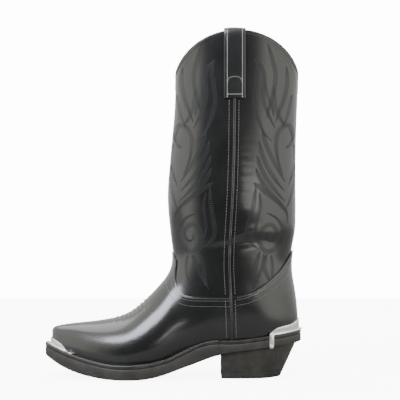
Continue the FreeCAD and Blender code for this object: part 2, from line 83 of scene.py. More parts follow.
def edit(piece, *steps):
    """Runs edit-mode operators on all of a piece."""
    pick(piece)
    bpy.ops.object.mode_set(mode="EDIT")
    bpy.ops.mesh.select_all(action="SELECT")
    for step in steps:
        step()
    bpy.ops.object.mode_set(mode="OBJECT")


def weld():
    bpy.ops.mesh.remove_doubles(threshold=0.02 * MM)


def outwards():
    bpy.ops.mesh.normals_make_consistent(inside=False)


def apply_modifier(piece, kind, **settings):
    """Adds one modifier, sets it up and applies it."""
    pick(piece)
    modifier = piece.modifiers.new(kind.lower(), kind)
    for key, value in settings.items():
        setattr(modifier, key, value)
    bpy.ops.object.modifier_apply(modifier=modifier.name)


def settle(piece):
    """Puts a piece's place into its mesh, so that its object sits at the origin."""
    pick(piece)
    bpy.ops.object.transform_apply(location=True, rotation=True, scale=True)


def smooth(piece, degrees=38):
    pick(piece)
    bpy.ops.object.shade_smooth_by_angle(angle=math.radians(degrees))


def hand_over(piece, material, slot, *nodes):
    """Gives a finished piece its material, its body and the CAD nodes that it stands for."""
    piece.data.materials.clear()
    piece.data.materials.append(material)
    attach(piece, "root")
    if nodes:
        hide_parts(*nodes)
    print(f"{piece.name}: {len(piece.data.polygons)} faces")
    return piece


# %% [markdown]
# ## Leather, thread and metal
#
# Smooth calf is dyed through and then glazed, so it is nearly black with a thin gloss coat. Close up it
# has pores, and where it bends the glaze breaks into faint lines. A Voronoi texture gives pores and a
# stretched noise gives the lines. All of it reads Object coordinates, so it stays put on the piece.

# %% A material to start from
def blank_material(name):
    """A material with a Principled shader, its node tree and its object coordinates."""
    material = bpy.data.materials.new(name)
    material.use_nodes = True
    tree = material.node_tree
    shader = tree.nodes["Principled BSDF"]
    place = tree.nodes.new("ShaderNodeTexCoord").outputs["Object"]
    return material, tree, shader, place


def noise(tree, place, scale, detail=4.0, stretch=(1, 1, 1), roughness=0.55):
    """A noise texture, stretched along the axes."""
    mapping = tree.nodes.new("ShaderNodeMapping")
    mapping.inputs["Scale"].default_value = stretch
    tree.links.new(place, mapping.inputs["Vector"])
    texture = tree.nodes.new("ShaderNodeTexNoise")
    texture.inputs["Scale"].default_value = scale
    texture.inputs["Detail"].default_value = detail
    texture.inputs["Roughness"].default_value = roughness
    tree.links.new(mapping.outputs["Vector"], texture.inputs["Vector"])
    return texture.outputs["Fac"]


def cells(tree, place, scale, feature="F1"):
    """A Voronoi texture's distance."""
    texture = tree.nodes.new("ShaderNodeTexVoronoi")
    texture.feature = feature
    texture.inputs["Scale"].default_value = scale
    tree.links.new(place, texture.inputs["Vector"])
    return texture.outputs["Distance"]


def ramp(tree, value, *stops):
    """A colour ramp through (position, colour) stops."""
    node = tree.nodes.new("ShaderNodeValToRGB")
    while len(node.color_ramp.elements) < len(stops):
        node.color_ramp.elements.new(0.5)
    for element, (position, colour) in zip(node.color_ramp.elements, stops):
        element.position = position
        element.color = (*colour, 1)
    tree.links.new(value, node.inputs["Fac"])
    return node.outputs["Color"]


def spread(tree, value, low, high):
    """Stretches a 0..1 value to low..high."""
    node = tree.nodes.new("ShaderNodeMapRange")
    node.inputs["To Min"].default_value = low
    node.inputs["To Max"].default_value = high
    tree.links.new(value, node.inputs["Value"])
    return node.outputs["Result"]


def bump(tree, shader, *layers):
    """Stacks (height, strength, distance in mm) bumps into the shader's normal."""
    normal = None
    for height, strength, distance in layers:
        node = tree.nodes.new("ShaderNodeBump")
        node.inputs["Strength"].default_value = strength
        node.inputs["Distance"].default_value = distance * MM
        tree.links.new(height, node.inputs["Height"])
        if normal is not None:
            tree.links.new(normal, node.inputs["Normal"])
        normal = node.outputs["Normal"]
    tree.links.new(normal, shader.inputs["Normal"])


# %% Glazed black leather
def glazed_leather(name, dark, light, rough, coat, crease=0.25, grain=0.12):
    """Dyed leather with a glaze: pores, faint creases and a few duller patches."""
    material, tree, shader, place = blank_material(name)
    patches = noise(tree, place, 24, 5)
    tree.links.new(ramp(tree, patches, (0.35, dark), (0.7, light)), shader.inputs["Base Color"])
    tree.links.new(spread(tree, patches, rough * 0.8, rough * 1.25), shader.inputs["Roughness"])
    shader.inputs["Coat Weight"].default_value = coat
    shader.inputs["Coat Roughness"].default_value = 0.16
    shader.inputs["Specular IOR Level"].default_value = 0.5
    lines = noise(tree, place, 130, 3, (1.0, 1.0, 3.0))
    pores = cells(tree, place, 1100)
    bump(tree, shader, (lines, crease, 0.35), (pores, grain, 0.12), (noise(tree, place, 45, 2), 0.25, 0.6))
    return material


UPPER = glazed_leather("glazed_calf", (0.0065, 0.0065, 0.0070), (0.013, 0.013, 0.0135), 0.23, 0.5)
STRAP = glazed_leather("strap_leather", (0.007, 0.007, 0.008), (0.015, 0.015, 0.016), 0.30, 0.25, 0.35, 0.3)
TRIM = glazed_leather("folded_trim", (0.010, 0.010, 0.011), (0.024, 0.024, 0.026), 0.26, 0.4, 0.3, 0.2)


# %% Tan lining, board and cork
def soft_leather(name, dark, light, rough, scale=60):
    """Undyed leather: mottled, matt, with an open grain."""
    material, tree, shader, place = blank_material(name)
    mottle = noise(tree, place, scale, 6)
    tree.links.new(ramp(tree, mottle, (0.3, dark), (0.7, light)), shader.inputs["Base Color"])
    shader.inputs["Roughness"].default_value = rough
    shader.inputs["Sheen Weight"].default_value = 0.15
    bump(tree, shader, (cells(tree, place, 700), 0.35, 0.2), (mottle, 0.3, 0.4))
    return material


LINING = soft_leather("tan_lining", (0.20, 0.125, 0.070), (0.33, 0.22, 0.135), 0.7)
BOARD = soft_leather("pressed_board", (0.25, 0.18, 0.11), (0.38, 0.28, 0.19), 0.85, 140)
INSOLE = soft_leather("bark_tanned_insole", (0.34, 0.22, 0.13), (0.47, 0.33, 0.21), 0.65, 30)
CORK = soft_leather("cork_grains", (0.14, 0.075, 0.035), (0.42, 0.27, 0.15), 0.9, 420)


# %% Stacked sole leather
def edge_leather(name, dark, light, rough, layer_pitch, coat=0.0):
    """The cut and inked edge of thick leather: fine lines along its layers, and scuffs."""
    material, tree, shader, place = blank_material(name)
    layers = noise(tree, place, 10, 3, (1.0, 1.0, 60.0 / layer_pitch))
    scuffs = noise(tree, place, 90, 6)
    tree.links.new(ramp(tree, scuffs, (0.38, dark), (0.66, light)), shader.inputs["Base Color"])
    tree.links.new(spread(tree, layers, rough * 0.85, min(1.0, rough * 1.2)), shader.inputs["Roughness"])
    shader.inputs["Coat Weight"].default_value = coat
    shader.inputs["Coat Roughness"].default_value = 0.3
    bump(tree, shader, (layers, 0.35, 0.25), (scuffs, 0.3, 0.2), (cells(tree, place, 900), 0.15, 0.1))
    return material


SOLE = edge_leather("inked_sole_edge", (0.020, 0.018, 0.016), (0.034, 0.031, 0.028), 0.5, 2.0)
HEEL = edge_leather("inked_heel_stack", (0.023, 0.021, 0.018), (0.038, 0.035, 0.031), 0.48, 4.0)
WELT = edge_leather("black_welt", (0.012, 0.011, 0.011), (0.030, 0.028, 0.027), 0.36, 2.0, 0.15)
RUBBER = edge_leather("hard_rubber_lift", (0.018, 0.017, 0.017), (0.034, 0.032, 0.031), 0.7, 7.0)


# %% Waxed thread and plated metal
def thread(name, dark, light, rough):
    """Twisted waxed thread: the fine slanting bands are its plies."""
    material, tree, shader, place = blank_material(name)
    wave = tree.nodes.new("ShaderNodeTexWave")
    wave.bands_direction = "DIAGONAL"
    wave.inputs["Scale"].default_value = 900
    wave.inputs["Distortion"].default_value = 1.5
    tree.links.new(place, wave.inputs["Vector"])
    tree.links.new(ramp(tree, wave.outputs["Fac"], (0.1, dark), (0.9, light)), shader.inputs["Base Color"])
    shader.inputs["Roughness"].default_value = rough
    shader.inputs["Sheen Weight"].default_value = 0.1
    shader.inputs["Specular IOR Level"].default_value = 0.2
    bump(tree, shader, (wave.outputs["Fac"], 0.5, 0.08))
    return material


def plated(name, tint, rough):
    """Plated steel: polished, with hairlines, dulled in patches by handling."""
    material, tree, shader, place = blank_material(name)
    shader.inputs["Metallic"].default_value = 1.0
    haze = noise(tree, place, 70, 5)
    dulled = tuple(c * 0.86 for c in tint)
    tree.links.new(ramp(tree, haze, (0.3, tint), (0.75, dulled)), shader.inputs["Base Color"])
    tree.links.new(spread(tree, haze, rough, rough * 2.2), shader.inputs["Roughness"])
    bump(tree, shader, (noise(tree, place, 300, 2, (1, 1, 8)), 0.06, 0.05))
    return material


FLAME_THREAD = thread("slate_thread", (0.014, 0.016, 0.017), (0.026, 0.029, 0.031), 0.7)
SEAM_THREAD = thread("grey_thread", (0.09, 0.092, 0.092), (0.20, 0.20, 0.20), 0.5)
STRAP_THREAD = thread("pale_grey_thread", (0.42, 0.42, 0.40), (0.66, 0.66, 0.64), 0.5)
CHROME = plated("plated_guard", (0.93, 0.93, 0.94), 0.16)
STEEL = plated("plain_steel", (0.46, 0.46, 0.47), 0.28)

# %% [markdown]
# ## The last
#
# Every upper piece takes its shape from the last, the wooden foot inside the boot. Its sections fan out
# round the ankle, from standing slices at the toe to lying slices at the collar. Each row below is one
# slice: its front point, its back point, its half width, its centre, where it is widest, how round it is
# at the front and back, and how much of it is nose. A natural cubic spline joins the slices, so the
# surface has no flat spots to spoil the shine, which is why it isn't built from stretched primitives.

# %% Slices of the last, in millimetres
SLICES = np.array([
    (-224.5, 49.5, -224.5, 26.5, 0.02, 5.0, 0.50, 2.00, 2.20, 1.00),
    (-224.0, 50.0, -224.0, 26.0, 2.5, 5.0, 0.50, 2.00, 2.20, 1.00),
    (-223.3, 52.5, -223.3, 23.0, 6.5, 5.0, 0.50, 2.10, 2.20, 0.95),
    (-221.5, 54.4, -221.5, 20.0, 10.0, 5.0, 0.50, 2.10, 2.20, 0.80),
    (-217.5, 56.0, -217.5, 16.0, 14.5, 4.8, 0.50, 2.10, 2.30, 0.50),
    (-209.0, 57.6, -209.0, 12.0, 20.0, 4.5, 0.48, 2.10, 2.40, 0.20),
    (-195.0, 59.5, -195.0, 8.0, 27.0, 3.5, 0.46, 2.10, 2.40, 0.00),
    (-178.0, 61.2, -178.0, 4.0, 34.3, 2.3, 0.44, 2.05, 2.40, 0.00),
    (-160.0, 64.0, -160.0, 1.0, 40.5, 1.0, 0.42, 2.00, 2.40, 0.00),
    (-140.0, 69.8, -142.0, -1.0, 44.8, -0.5, 0.40, 1.95, 2.40, 0.00),
    (-123.5, 81.0, -120.0, -1.0, 46.3, -1.0, 0.40, 1.90, 2.20, 0.00),
    (-110.5, 93.4, -95.0, 1.0, 45.0, 0.0, 0.43, 1.90, 2.10, 0.00),
    (-99.0, 106.0, -68.0, 8.0, 41.5, 1.0, 0.50, 1.95, 1.95, 0.00),
    (-91.3, 117.5, -38.0, 14.0, 39.0, 1.5, 0.50, 2.00, 1.95, 0.00),
    (-88.3, 128.5, -5.0, 12.0, 38.5, 1.0, 0.50, 2.00, 1.95, 0.00),
    (-88.3, 138.5, 30.0, 14.0, 38.8, 0.5, 0.50, 2.05, 2.00, 0.00),
    (-89.6, 148.0, 51.0, 38.0, 39.3, 0.0, 0.48, 2.05, 2.05, 0.00),
    (-91.2, 159.0, 54.0, 66.0, 39.8, 0.0, 0.50, 2.05, 2.00, 0.00),
    (-92.8, 173.0, 51.2, 95.0, 40.8, 0.0, 0.50, 2.05, 2.00, 0.00),
    (-94.2, 188.0, 47.4, 122.0, 42.4, 0.0, 0.50, 2.05, 2.00, 0.00),
    (-94.8, 202.0, 49.8, 147.0, 44.6, 0.0, 0.50, 2.05, 2.05, 0.00),
    (-94.3, 218.0, 53.2, 172.0, 46.5, 0.0, 0.50, 2.05, 2.05, 0.00),
    (-92.2, 243.0, 53.2, 215.0, 47.3, 0.0, 0.50, 2.05, 2.05, 0.00),
    (-89.6, 272.0, 53.6, 258.0, 47.3, 0.0, 0.50, 2.05, 2.05, 0.00),
    (-87.2, 300.0, 54.8, 295.0, 46.8, 0.0, 0.50, 2.05, 2.05, 0.00),
    (-86.2, 335.0, 56.2, 335.0, 46.3, 0.0, 0.50, 2.05, 2.05, 0.00),
    (-86.2, 372.0, 56.2, 372.0, 45.8, 0.0, 0.50, 2.05, 2.05, 0.00),
    (-86.2, 410.0, 56.2, 410.0, 45.3, 0.0, 0.50, 2.05, 2.05, 0.00),
])
COUNT = len(SLICES)
STRIDE = 0.5 * (np.hypot(*np.diff(SLICES[:, 0:2], axis=0).T) + np.hypot(*np.diff(SLICES[:, 2:4], axis=0).T))
REACH = np.concatenate([[0.0], np.cumsum(STRIDE)])  # distance along the last at each slice
GIRTH = 42.0  # millimetres of leather for one radian round a slice


def spline_bends():
    """Second differences of the natural cubic spline through the slices."""
    matrix = np.diag(np.full(COUNT - 2, 4.0))
    matrix += np.diag(np.ones(COUNT - 3), 1) + np.diag(np.ones(COUNT - 3), -1)
    inner = np.linalg.solve(matrix, 6 * (SLICES[2:] - 2 * SLICES[1:-1] + SLICES[:-2]))
    return np.vstack([np.zeros(10), inner, np.zeros(10)])


BENDS = spline_bends()


def slice_at(s):
    """The ten values of the slice at each s, which counts slices from the toe."""
    s = np.clip(s, 0, COUNT - 1.0001)
    i = s.astype(int)
    f = (s - i)[:, None]
    g = 1 - f
    low, high = SLICES[i] - BENDS[i] / 6, SLICES[i + 1] - BENDS[i + 1] / 6
    return (BENDS[i] * g ** 3 + BENDS[i + 1] * f ** 3) / 6 + low * g + high * f


def on_last(s, a, inset):
    """Points on the last, moved in by inset. Angle a is 0 at the back, pi at the front, 2 pi at the back."""
    v = slice_at(s)
    front, back = v[:, 0:2], v[:, 2:4]
    half, mid, wide, round_f, round_b, nose = v[:, 4:].T
    along = front - back
    length = np.hypot(*along.T)
    along = along / length[:, None]
    shrink = inset * (1 - nose)
    back = back + along * shrink[:, None]
    length = length - 2 * shrink
    rise, out = -np.cos(a), np.abs(np.sin(a))
    power = 2 / np.where(rise > 0, round_f, round_b)
    span = np.where(rise > 0, (1 - wide) * length, wide * length)
    place = wide * length + np.sign(rise) * np.abs(rise) ** power * span
    width = np.maximum(half - shrink, 0) * out ** power
    side = np.where(np.sin(a) >= 0, -1.0, 1.0)
    x, z = (back + along * place[:, None]).T
    return np.column_stack([x + inset * nose, mid + side * width, z])


def outward(s, a, inset):
    """Unit normals of the last."""
    step = 0.01
    down_s = on_last(s + step, a, inset) - on_last(np.maximum(s - step, 0), a, inset)
    down_a = on_last(s, a + step, inset) - on_last(s, a - step, inset)
    normal = np.cross(down_s, down_a)
    return normal / np.maximum(np.linalg.norm(normal, axis=1), 1e-9)[:, None]


# %% [markdown]
# Worn-in leather isn't a perfect surface. It puckers along a seam, it has soft folds at the ankle, and the
# stitched bug on the toe pulls it into cords. These are small moves along the normal, made in the mesh
# itself so that they catch the light and are part of the shape.

# %% Folds, puckers and cords in the leather
BUG_PITCH = 4.4  # millimetres between two cords of the toe bug
BUG_SLANT = 5.5  # how far a cord falls back towards the ankle for each radian off the centre line
BUG_CORD = 0.75  # how far the cords stand out
SHAFT_FOOT = 92  # the height above which the leather folds and puckers
SEAM = [(-18, 440), (-18.5, 300), (-20, 220), (-24, 135), (-22.5, 90), (-19, -20)]


def catmull(a, b, c, d, f):
    """A Catmull-Rom spline a share f of the way from b to c."""
    square, cube = 2 * a - 5 * b + 4 * c - d, 3 * b - a - 3 * c + d
    return 0.5 * (2 * b + (c - a) * f + square * f ** 2 + cube * f ** 3)


def curve_through(points, count=160):
    """A smooth line through side-view points."""
    p = np.array(points, float)
    p = np.vstack([2 * p[0] - p[1], p, 2 * p[-1] - p[-2]])
    t = np.linspace(0, len(p) - 3 - 1e-6, count)
    i = t.astype(int)
    f = (t - i)[:, None]
    return catmull(p[i], p[i + 1], p[i + 2], p[i + 3], f)


SEAM_LINE = curve_through(SEAM)[::-1]


def seam_x(z):
    return np.interp(z, SEAM_LINE[:, 1], SEAM_LINE[:, 0])


def relief(points, a):
    """How far the leather stands out of the smooth last, in millimetres."""
    x, _, z = points.T
    off_seam = x - seam_x(z)
    side = 0.8 * np.sin(0.71 * z) + 0.6 * np.sin(1.13 * z + 2) + 0.5 * np.sin(0.37 * z + 1)
    pucker = 0.20 * side * np.exp(-np.abs(off_seam) / 9) * np.exp(-((z - 215) / 95) ** 2)
    fold_line = 152 + 0.10 * off_seam + 3.0 * np.sin(off_seam / 14)
    across = np.exp(-((off_seam - 14) / 34) ** 2)
    fold = 1.5 * np.exp(-((z - fold_line - 7) / 6.5) ** 2) - 1.3 * np.exp(-((z - fold_line + 5) / 5.5) ** 2)
    slack = 0.55 * np.sin(z / 9.5 + off_seam / 21) * np.exp(-((z - 172) / 32) ** 2)
    bug = np.exp(-((np.abs(a - math.pi) - 0.05) / 0.42) ** 4) * np.exp(-((x + 136) / 21) ** 6)
    cords = BUG_CORD * np.cos(2 * math.pi * (x - BUG_SLANT * np.abs(a - math.pi)) / BUG_PITCH) * bug
    return np.where(z > SHAFT_FOOT, pucker + (fold + slack) * across, 0) + cords


def skin(s, a, inset):
    """Points on the leather and their normals."""
    points = on_last(s, a, inset)
    normals = outward(s, a, inset)
    return points + normals * relief(points, a)[:, None], normals


def to_last(line, inset):
    """Finds the slice s and angle a of side-view points."""
    line = np.asarray(line, float)
    s_grid = np.linspace(0, COUNT - 1.001, 2600)
    v = slice_at(s_grid)
    along = v[:, 0:2] - v[:, 2:4]
    off_x, off_z = line[:, 0:1] - v[None, :, 2], line[:, 1:2] - v[None, :, 3]
    side = along[None, :, 0] * off_z - along[None, :, 1] * off_x
    passed = side > 0
    first = np.argmax(passed, axis=1)
    first = np.where(passed.any(axis=1), first, len(s_grid) - 1)
    before = np.maximum(first - 1, 0)
    rows = np.arange(len(line))
    d0, d1 = side[rows, before], side[rows, first]
    share = np.where(d1 > d0, -d0 / np.where(d1 > d0, d1 - d0, 1), 0)
    s = s_grid[before] + np.clip(share, 0, 1) * (s_grid[first] - s_grid[before])
    v = slice_at(s)
    along = v[:, 0:2] - v[:, 2:4]
    length = np.hypot(*along.T)
    place = ((line - v[:, 2:4]) * along).sum(1) / length - inset
    length = length - 2 * inset
    wide = v[:, 6]
    span = np.where(place > wide * length, (1 - wide) * length, wide * length)
    h = np.clip((place - wide * length) / span, -1, 1)
    power = 2 / np.where(h > 0, v[:, 7], v[:, 8])
    rise = np.sign(h) * np.abs(h) ** (1 / power)
    return np.column_stack([s, np.arccos(np.clip(-rise, -1, 1))])


# %% [markdown]
# ## Cutting leather
#
# A bootmaker cuts a flat pattern and pulls it over the last. Here the pattern is an outline on the
# surface of the last. A constrained Delaunay triangulation fills it, so the cut edge is exact however it
# curves, and Solidify and Bevel then give the leather its thickness and its rounded edge.

# %% Outlines on the last
def flat(s, a):
    """Slice and angle, as millimetres on the pattern."""
    return np.column_stack([np.interp(s, np.arange(COUNT), REACH), a * GIRTH])


def unflat(pattern):
    return np.interp(pattern[:, 0], REACH, np.arange(COUNT)), pattern[:, 1] / GIRTH


def even(points, pitch, closed=False):
    """Points a pitch apart along a line."""
    p = np.asarray(points, float)
    if closed:
        p = np.vstack([p, p[:1]])
    steps = np.linalg.norm(np.diff(p, axis=0), axis=1)
    where = np.concatenate([[0.0], np.cumsum(steps)])
    count = max(2, int(round(where[-1] / pitch)) + 1)
    t = np.linspace(0, where[-1], count)
    found = np.column_stack([np.interp(t, where, p[:, k]) for k in range(p.shape[1])])
    return found[:-1] if closed else found


def inside(points, outline):
    """Which points lie inside a closed outline."""
    x, y = points[:, 0:1], points[:, 1:2]
    x0, y0 = outline[:, 0], outline[:, 1]
    x1, y1 = np.roll(x0, -1), np.roll(y0, -1)
    crosses = (y0 > y) != (y1 > y)
    rise = np.where(y1 == y0, 1e-9, y1 - y0)
    return (crosses & (x < x0 + (y - y0) * (x1 - x0) / rise)).sum(1) % 2 == 1


def fill(outline, pitch):
    """Triangles inside an outline on the pattern."""
    low, high = outline.min(0), outline.max(0)
    grid = np.stack(np.meshgrid(np.arange(low[0], high[0], pitch), np.arange(low[1], high[1], pitch)), -1)
    grid = grid.reshape(-1, 2)
    grid = grid[inside(grid, outline)]
    gap = np.full(len(grid), 1e9)
    for point in outline:
        gap = np.minimum(gap, np.hypot(*(grid - point).T))
    grid = grid[gap > 0.55 * pitch]
    vertices = [Vector(p) for p in np.vstack([outline, grid]).tolist()]
    count = len(outline)
    edges = [(i, (i + 1) % count) for i in range(count)]
    found = delaunay_2d_cdt(vertices, edges, [], 1, 1e-5)
    return np.array([tuple(p) for p in found[0]]), np.array([list(f) for f in found[2]])


def round_edges(piece, width, segments=2, limit=50):
    """Bevels every edge that is sharper than the limit in degrees."""
    apply_modifier(piece, "BEVEL", width=width * MM, segments=segments, limit_method="ANGLE",
                   angle_limit=math.radians(limit))


def cut_leather(name, *sides, inset=0.0, thickness=1.8, pitch=2.6, round_edge=0.35):
    """A panel on both sides of the boot, from the lateral half of its outline in side view."""
    outline = even(np.vstack(sides), 2.0, closed=True)
    pattern, triangles = fill(outline, pitch)
    vertices, faces = [], []
    for mirrored in (False, True):
        s, a = unflat(pattern)
        a = 2 * math.pi - a if mirrored else a
        points, normals = skin(s, a, inset)
        start = sum(len(v) for v in vertices)
        corners = points[triangles]
        facing = np.cross(corners[:, 1] - corners[:, 0], corners[:, 2] - corners[:, 0])
        wrong = (facing * normals[triangles].sum(1)).sum(1) < 0
        tris = np.where(wrong[:, None], triangles[:, ::-1], triangles)
        vertices.append(points)
        faces.append(tris + start)
    piece = new_piece(name, np.vstack(vertices), np.vstack(faces))
    edit(piece, weld)
    apply_modifier(piece, "SOLIDIFY", thickness=thickness * MM, offset=-1, use_even_offset=False)
    round_edges(piece, round_edge)
    smooth(piece, 42)
    return piece


def line_on(points, inset=0.0, count=120):
    """A side-view line, as a line on the pattern."""
    found = to_last(curve_through(points, count), inset)
    return flat(found[:, 0], found[:, 1])


def along_edge(start, end, angle):
    """The stretch of the front (pi) or back (0) centre line between two points on the pattern."""
    reach = np.linspace(start[0], end[0], 60)
    return np.column_stack([reach, np.full(60, angle * GIRTH)])


# %% Lines that the panels share
SEAT = [(-245, 43), (-200, 26.5), (-160, 17.5), (-126, 17), (-96, 22), (-70, 33.5),
        (-45, 42), (-15, 43), (20, 47.5), (75, 55)]
UNDERSIDE = [(-245, 31), (-207, 11), (-172, 2.2), (-137, 0.3), (-106, 3), (-70, 14.5),
             (-33, 27), (10, 33), (75, 42)]
VAMP_EDGE = [(-20, 91.2), (-45, 91.0), (-68, 91.6), (-78.5, 96), (-83.6, 106), (-84.4, 119),
             (-83.6, 129), (-86.2, 136), (-91.5, 143.5)]
COUNTER_EDGE = [(-22.5, 91.2), (-5, 95), (13.5, 104), (30.5, 117.5), (41, 130), (53, 147)]
FRONT_LAP = [(-22, 81), (-60, 81), (-86, 98), (-94, 112)]
BACK_LAP = [(-22, 81), (-2, 85), (16, 94), (34, 108), (50, 124)]
SEAT_LINE, UNDER_LINE = curve_through(SEAT, 300), curve_through(UNDERSIDE, 300)


def seat_z(x):
    """Height of the line where the upper meets the welt."""
    return np.interp(x, SEAT_LINE[:, 0], SEAT_LINE[:, 1])


def under_z(x):
    return np.interp(x, UNDER_LINE[:, 0], UNDER_LINE[:, 1])


DOME_CENTRE, DOME_HALF, VALLEY, DOME_RISE = -15.0, 71.5, 321.0, 63.0


def collar(start, end, count=90):
    """The scalloped collar as side-view points; 0 is the front valley, 1 the back one."""
    turn = np.linspace(start, end, count) * math.pi
    return np.column_stack([DOME_CENTRE - DOME_HALF * np.cos(turn), VALLEY + DOME_RISE * np.sin(turn)])


def on_pattern(points, inset=0.0):
    found = to_last(points, inset)
    return flat(found[:, 0], found[:, 1])


def seam_side(z0, z1, shift=0.0, count=80):
    z = np.linspace(z0, z1, count)
    return np.column_stack([seam_x(z) + shift, z])


def trimmed(points, x0=-1e9, x1=1e9):
    """The part of a line between two places along the boot."""
    p = np.asarray(points)
    return p[(p[:, 0] >= x0) & (p[:, 0] <= x1)]


def off_centre(pattern):
    """A line without the points that touch the front or back centre line."""
    return pattern[(pattern[:, 1] > 0.02) & (pattern[:, 1] < math.pi * GIRTH - 0.02)]


LAP_STEP = 0.8  # how far the centre line starts beyond the last point of an edge
LAP_FOOT = 81  # height of the shaft's foot at the side seam
SEAM_FOOT = float(seat_z(-19.3))
SEAM_COLLAR = VALLEY + DOME_RISE * math.sqrt(1 - ((-18.0 - DOME_CENTRE) / DOME_HALF) ** 2)
SEAM_SHARE = math.acos((DOME_CENTRE + 18.0) / DOME_HALF) / math.pi

# %% [markdown]
# ## The four outer panels
#
# The vamp covers the toe and instep and sends a tongue up the ankle. The counter cover wraps the heel.
# The front and back of the shaft tuck under both, and all four meet at the side seams.

# %% Vamp
TOE_TIP, UNDER_SEAT = -224.4, np.array([0, -1.2])  # the uppers run a little way under the seat line
toe_seat = on_pattern(trimmed(SEAT_LINE, TOE_TIP, -19.6) + UNDER_SEAT)
vamp_top = off_centre(line_on(VAMP_EDGE))
ridge_end = np.array([vamp_top[-1][0] + 1.0, math.pi * GIRTH])
vamp = cut_leather(
    "vamp", toe_seat, on_pattern(seam_side(SEAM_FOOT, 90.4)), vamp_top,
    along_edge(ridge_end, (0.0, 0.0), math.pi), np.array([[0.0, math.pi * GIRTH], toe_seat[0]]))
hand_over(vamp, UPPER, "black_leather", "vamp")

# %% Counter cover
heel_seat = on_pattern(trimmed(SEAT_LINE, -19.4, 60) + UNDER_SEAT)
heel_seat = off_centre(heel_seat)
counter_top = off_centre(line_on(COUNTER_EDGE))
back_line = along_edge(heel_seat[-1] + [LAP_STEP, 0], counter_top[-1] + [LAP_STEP, 0], 0.0)
counter = cut_leather(
    "heel_counter_cover", heel_seat, back_line, counter_top[::-1], on_pattern(seam_side(91.2, SEAM_FOOT)))
hand_over(counter, UPPER, "black_leather", "heel_counter_cover")


# %% Shaft panels and their linings
def shaft_half(name, ahead, inset, thickness, material, slot, pitch):
    """The front or back half of the shaft, at a depth in the leather."""
    lap = off_centre(line_on(FRONT_LAP if ahead else BACK_LAP, inset))
    top = off_centre(on_pattern(collar(SEAM_SHARE, 0.0 if ahead else 1.0), inset))
    centre_line = along_edge(top[-1] - [LAP_STEP, 0], lap[-1] + [LAP_STEP, 0], math.pi if ahead else 0.0)
    piece = cut_leather(
        name, on_pattern(seam_side(LAP_FOOT, SEAM_COLLAR), inset), top, centre_line, lap[::-1],
        inset=inset, thickness=thickness, pitch=pitch)
    return hand_over(piece, material, slot, name)


SHAFT_INSET, LINING_INSET = 1.9, 3.4
for name, ahead in (("front_shaft", True), ("back_shaft", False)):
    shaft_half(name, ahead, SHAFT_INSET, 1.4, UPPER, "black_leather", 2.4)
for name, ahead in (("front_shaft_lining", True), ("back_shaft_lining", False)):
    shaft_half(name, ahead, LINING_INSET, 1.2, LINING, "lining", 4.0)

# %% [markdown]
# ## Beads and bindings
#
# Piping, binding, welts and straps are strips: one cross-section drawn along a path. Blender can bevel a
# curve, but then it decides the twist by itself. Here each strip is given its own across and up direction
# at every point, so the piping stands square to the leather all the way down.

# %% A strip drawn along a path
def strip(name, path, across, up, profile, closed=False, bend=38):
    """Draws a closed profile of (across, up) points along a path."""
    path, across, up = (np.asarray(v, float) for v in (path, across, up))
    profile = np.asarray(profile, float)
    rings = (path[:, None] + across[:, None] * profile[None, :, 0:1] + up[:, None] * profile[None, :, 1:2])
    return loft(name, rings, closed, bend)


def loft(name, rings, closed=False, bend=38):
    """Joins rings of points into a skin, and closes its ends."""
    n, k = rings.shape[:2]
    faces = []
    for i in range(n if closed else n - 1):
        j = (i + 1) % n
        faces += [(i * k + m, i * k + (m + 1) % k, j * k + (m + 1) % k, j * k + m) for m in range(k)]
    if not closed:
        faces += [tuple(range(k)), tuple(range((n - 1) * k, n * k))]
    piece = new_piece(name, rings.reshape(-1, 3), faces)
    edit(piece, weld, outwards)
    smooth(piece, bend)
    return piece


def unit(vectors):
    return vectors / np.maximum(np.linalg.norm(vectors, axis=1), 1e-9)[:, None]


def heading(path, closed=False):
    """Unit direction of travel along a path."""
    if closed:
        return unit(np.roll(path, -1, axis=0) - np.roll(path, 1, axis=0))
    return unit(np.gradient(path, axis=0))


def rounded_bar(x0, x1, y0, y1, radius, steps=3):
    """A rectangle with rounded corners, as a profile."""
    corners = [(x1 - radius, y1 - radius, 0), (x0 + radius, y1 - radius, 1),
               (x0 + radius, y0 + radius, 2), (x1 - radius, y0 + radius, 3)]
    turns = [(cx, cy, (q + i / steps) * math.pi / 2) for cx, cy, q in corners for i in range(steps + 1)]
    return [(cx + radius * math.cos(t), cy + radius * math.sin(t)) for cx, cy, t in turns]


def side_path(points, inset, side):
    """Side-view points placed on the leather, with normals: side -1 is lateral, 1 is medial."""
    found = to_last(points, inset)
    a = found[:, 1] if side < 0 else 2 * math.pi - found[:, 1]
    return skin(found[:, 0], a, inset)


# %% Piping down the two side seams
PIPING_TOP = 309.5
for side, label in ((-1, "lateral"), (1, "medial")):
    seam = even(seam_side(SEAM_FOOT - 0.6, PIPING_TOP, count=200), 2.2)
    path, normals = side_path(seam, 0.0, side)
    sink = 1.15 * np.clip((seam[:, 1] - 86) / 12, 0, 1)
    path = path - normals * sink[:, None]
    across = unit(np.cross(heading(path), normals))
    turn = np.linspace(0, math.pi, 11)
    bead = [(1.6, -2.0), *[(1.6 * math.cos(t), 1.45 * math.sin(t)) for t in turn], (-1.6, -2.0)]
    piping = strip(f"side_piping_{label}", path, across, normals, bead)
    hand_over(piping, TRIM, "black_leather", f"side_piping_{label}")

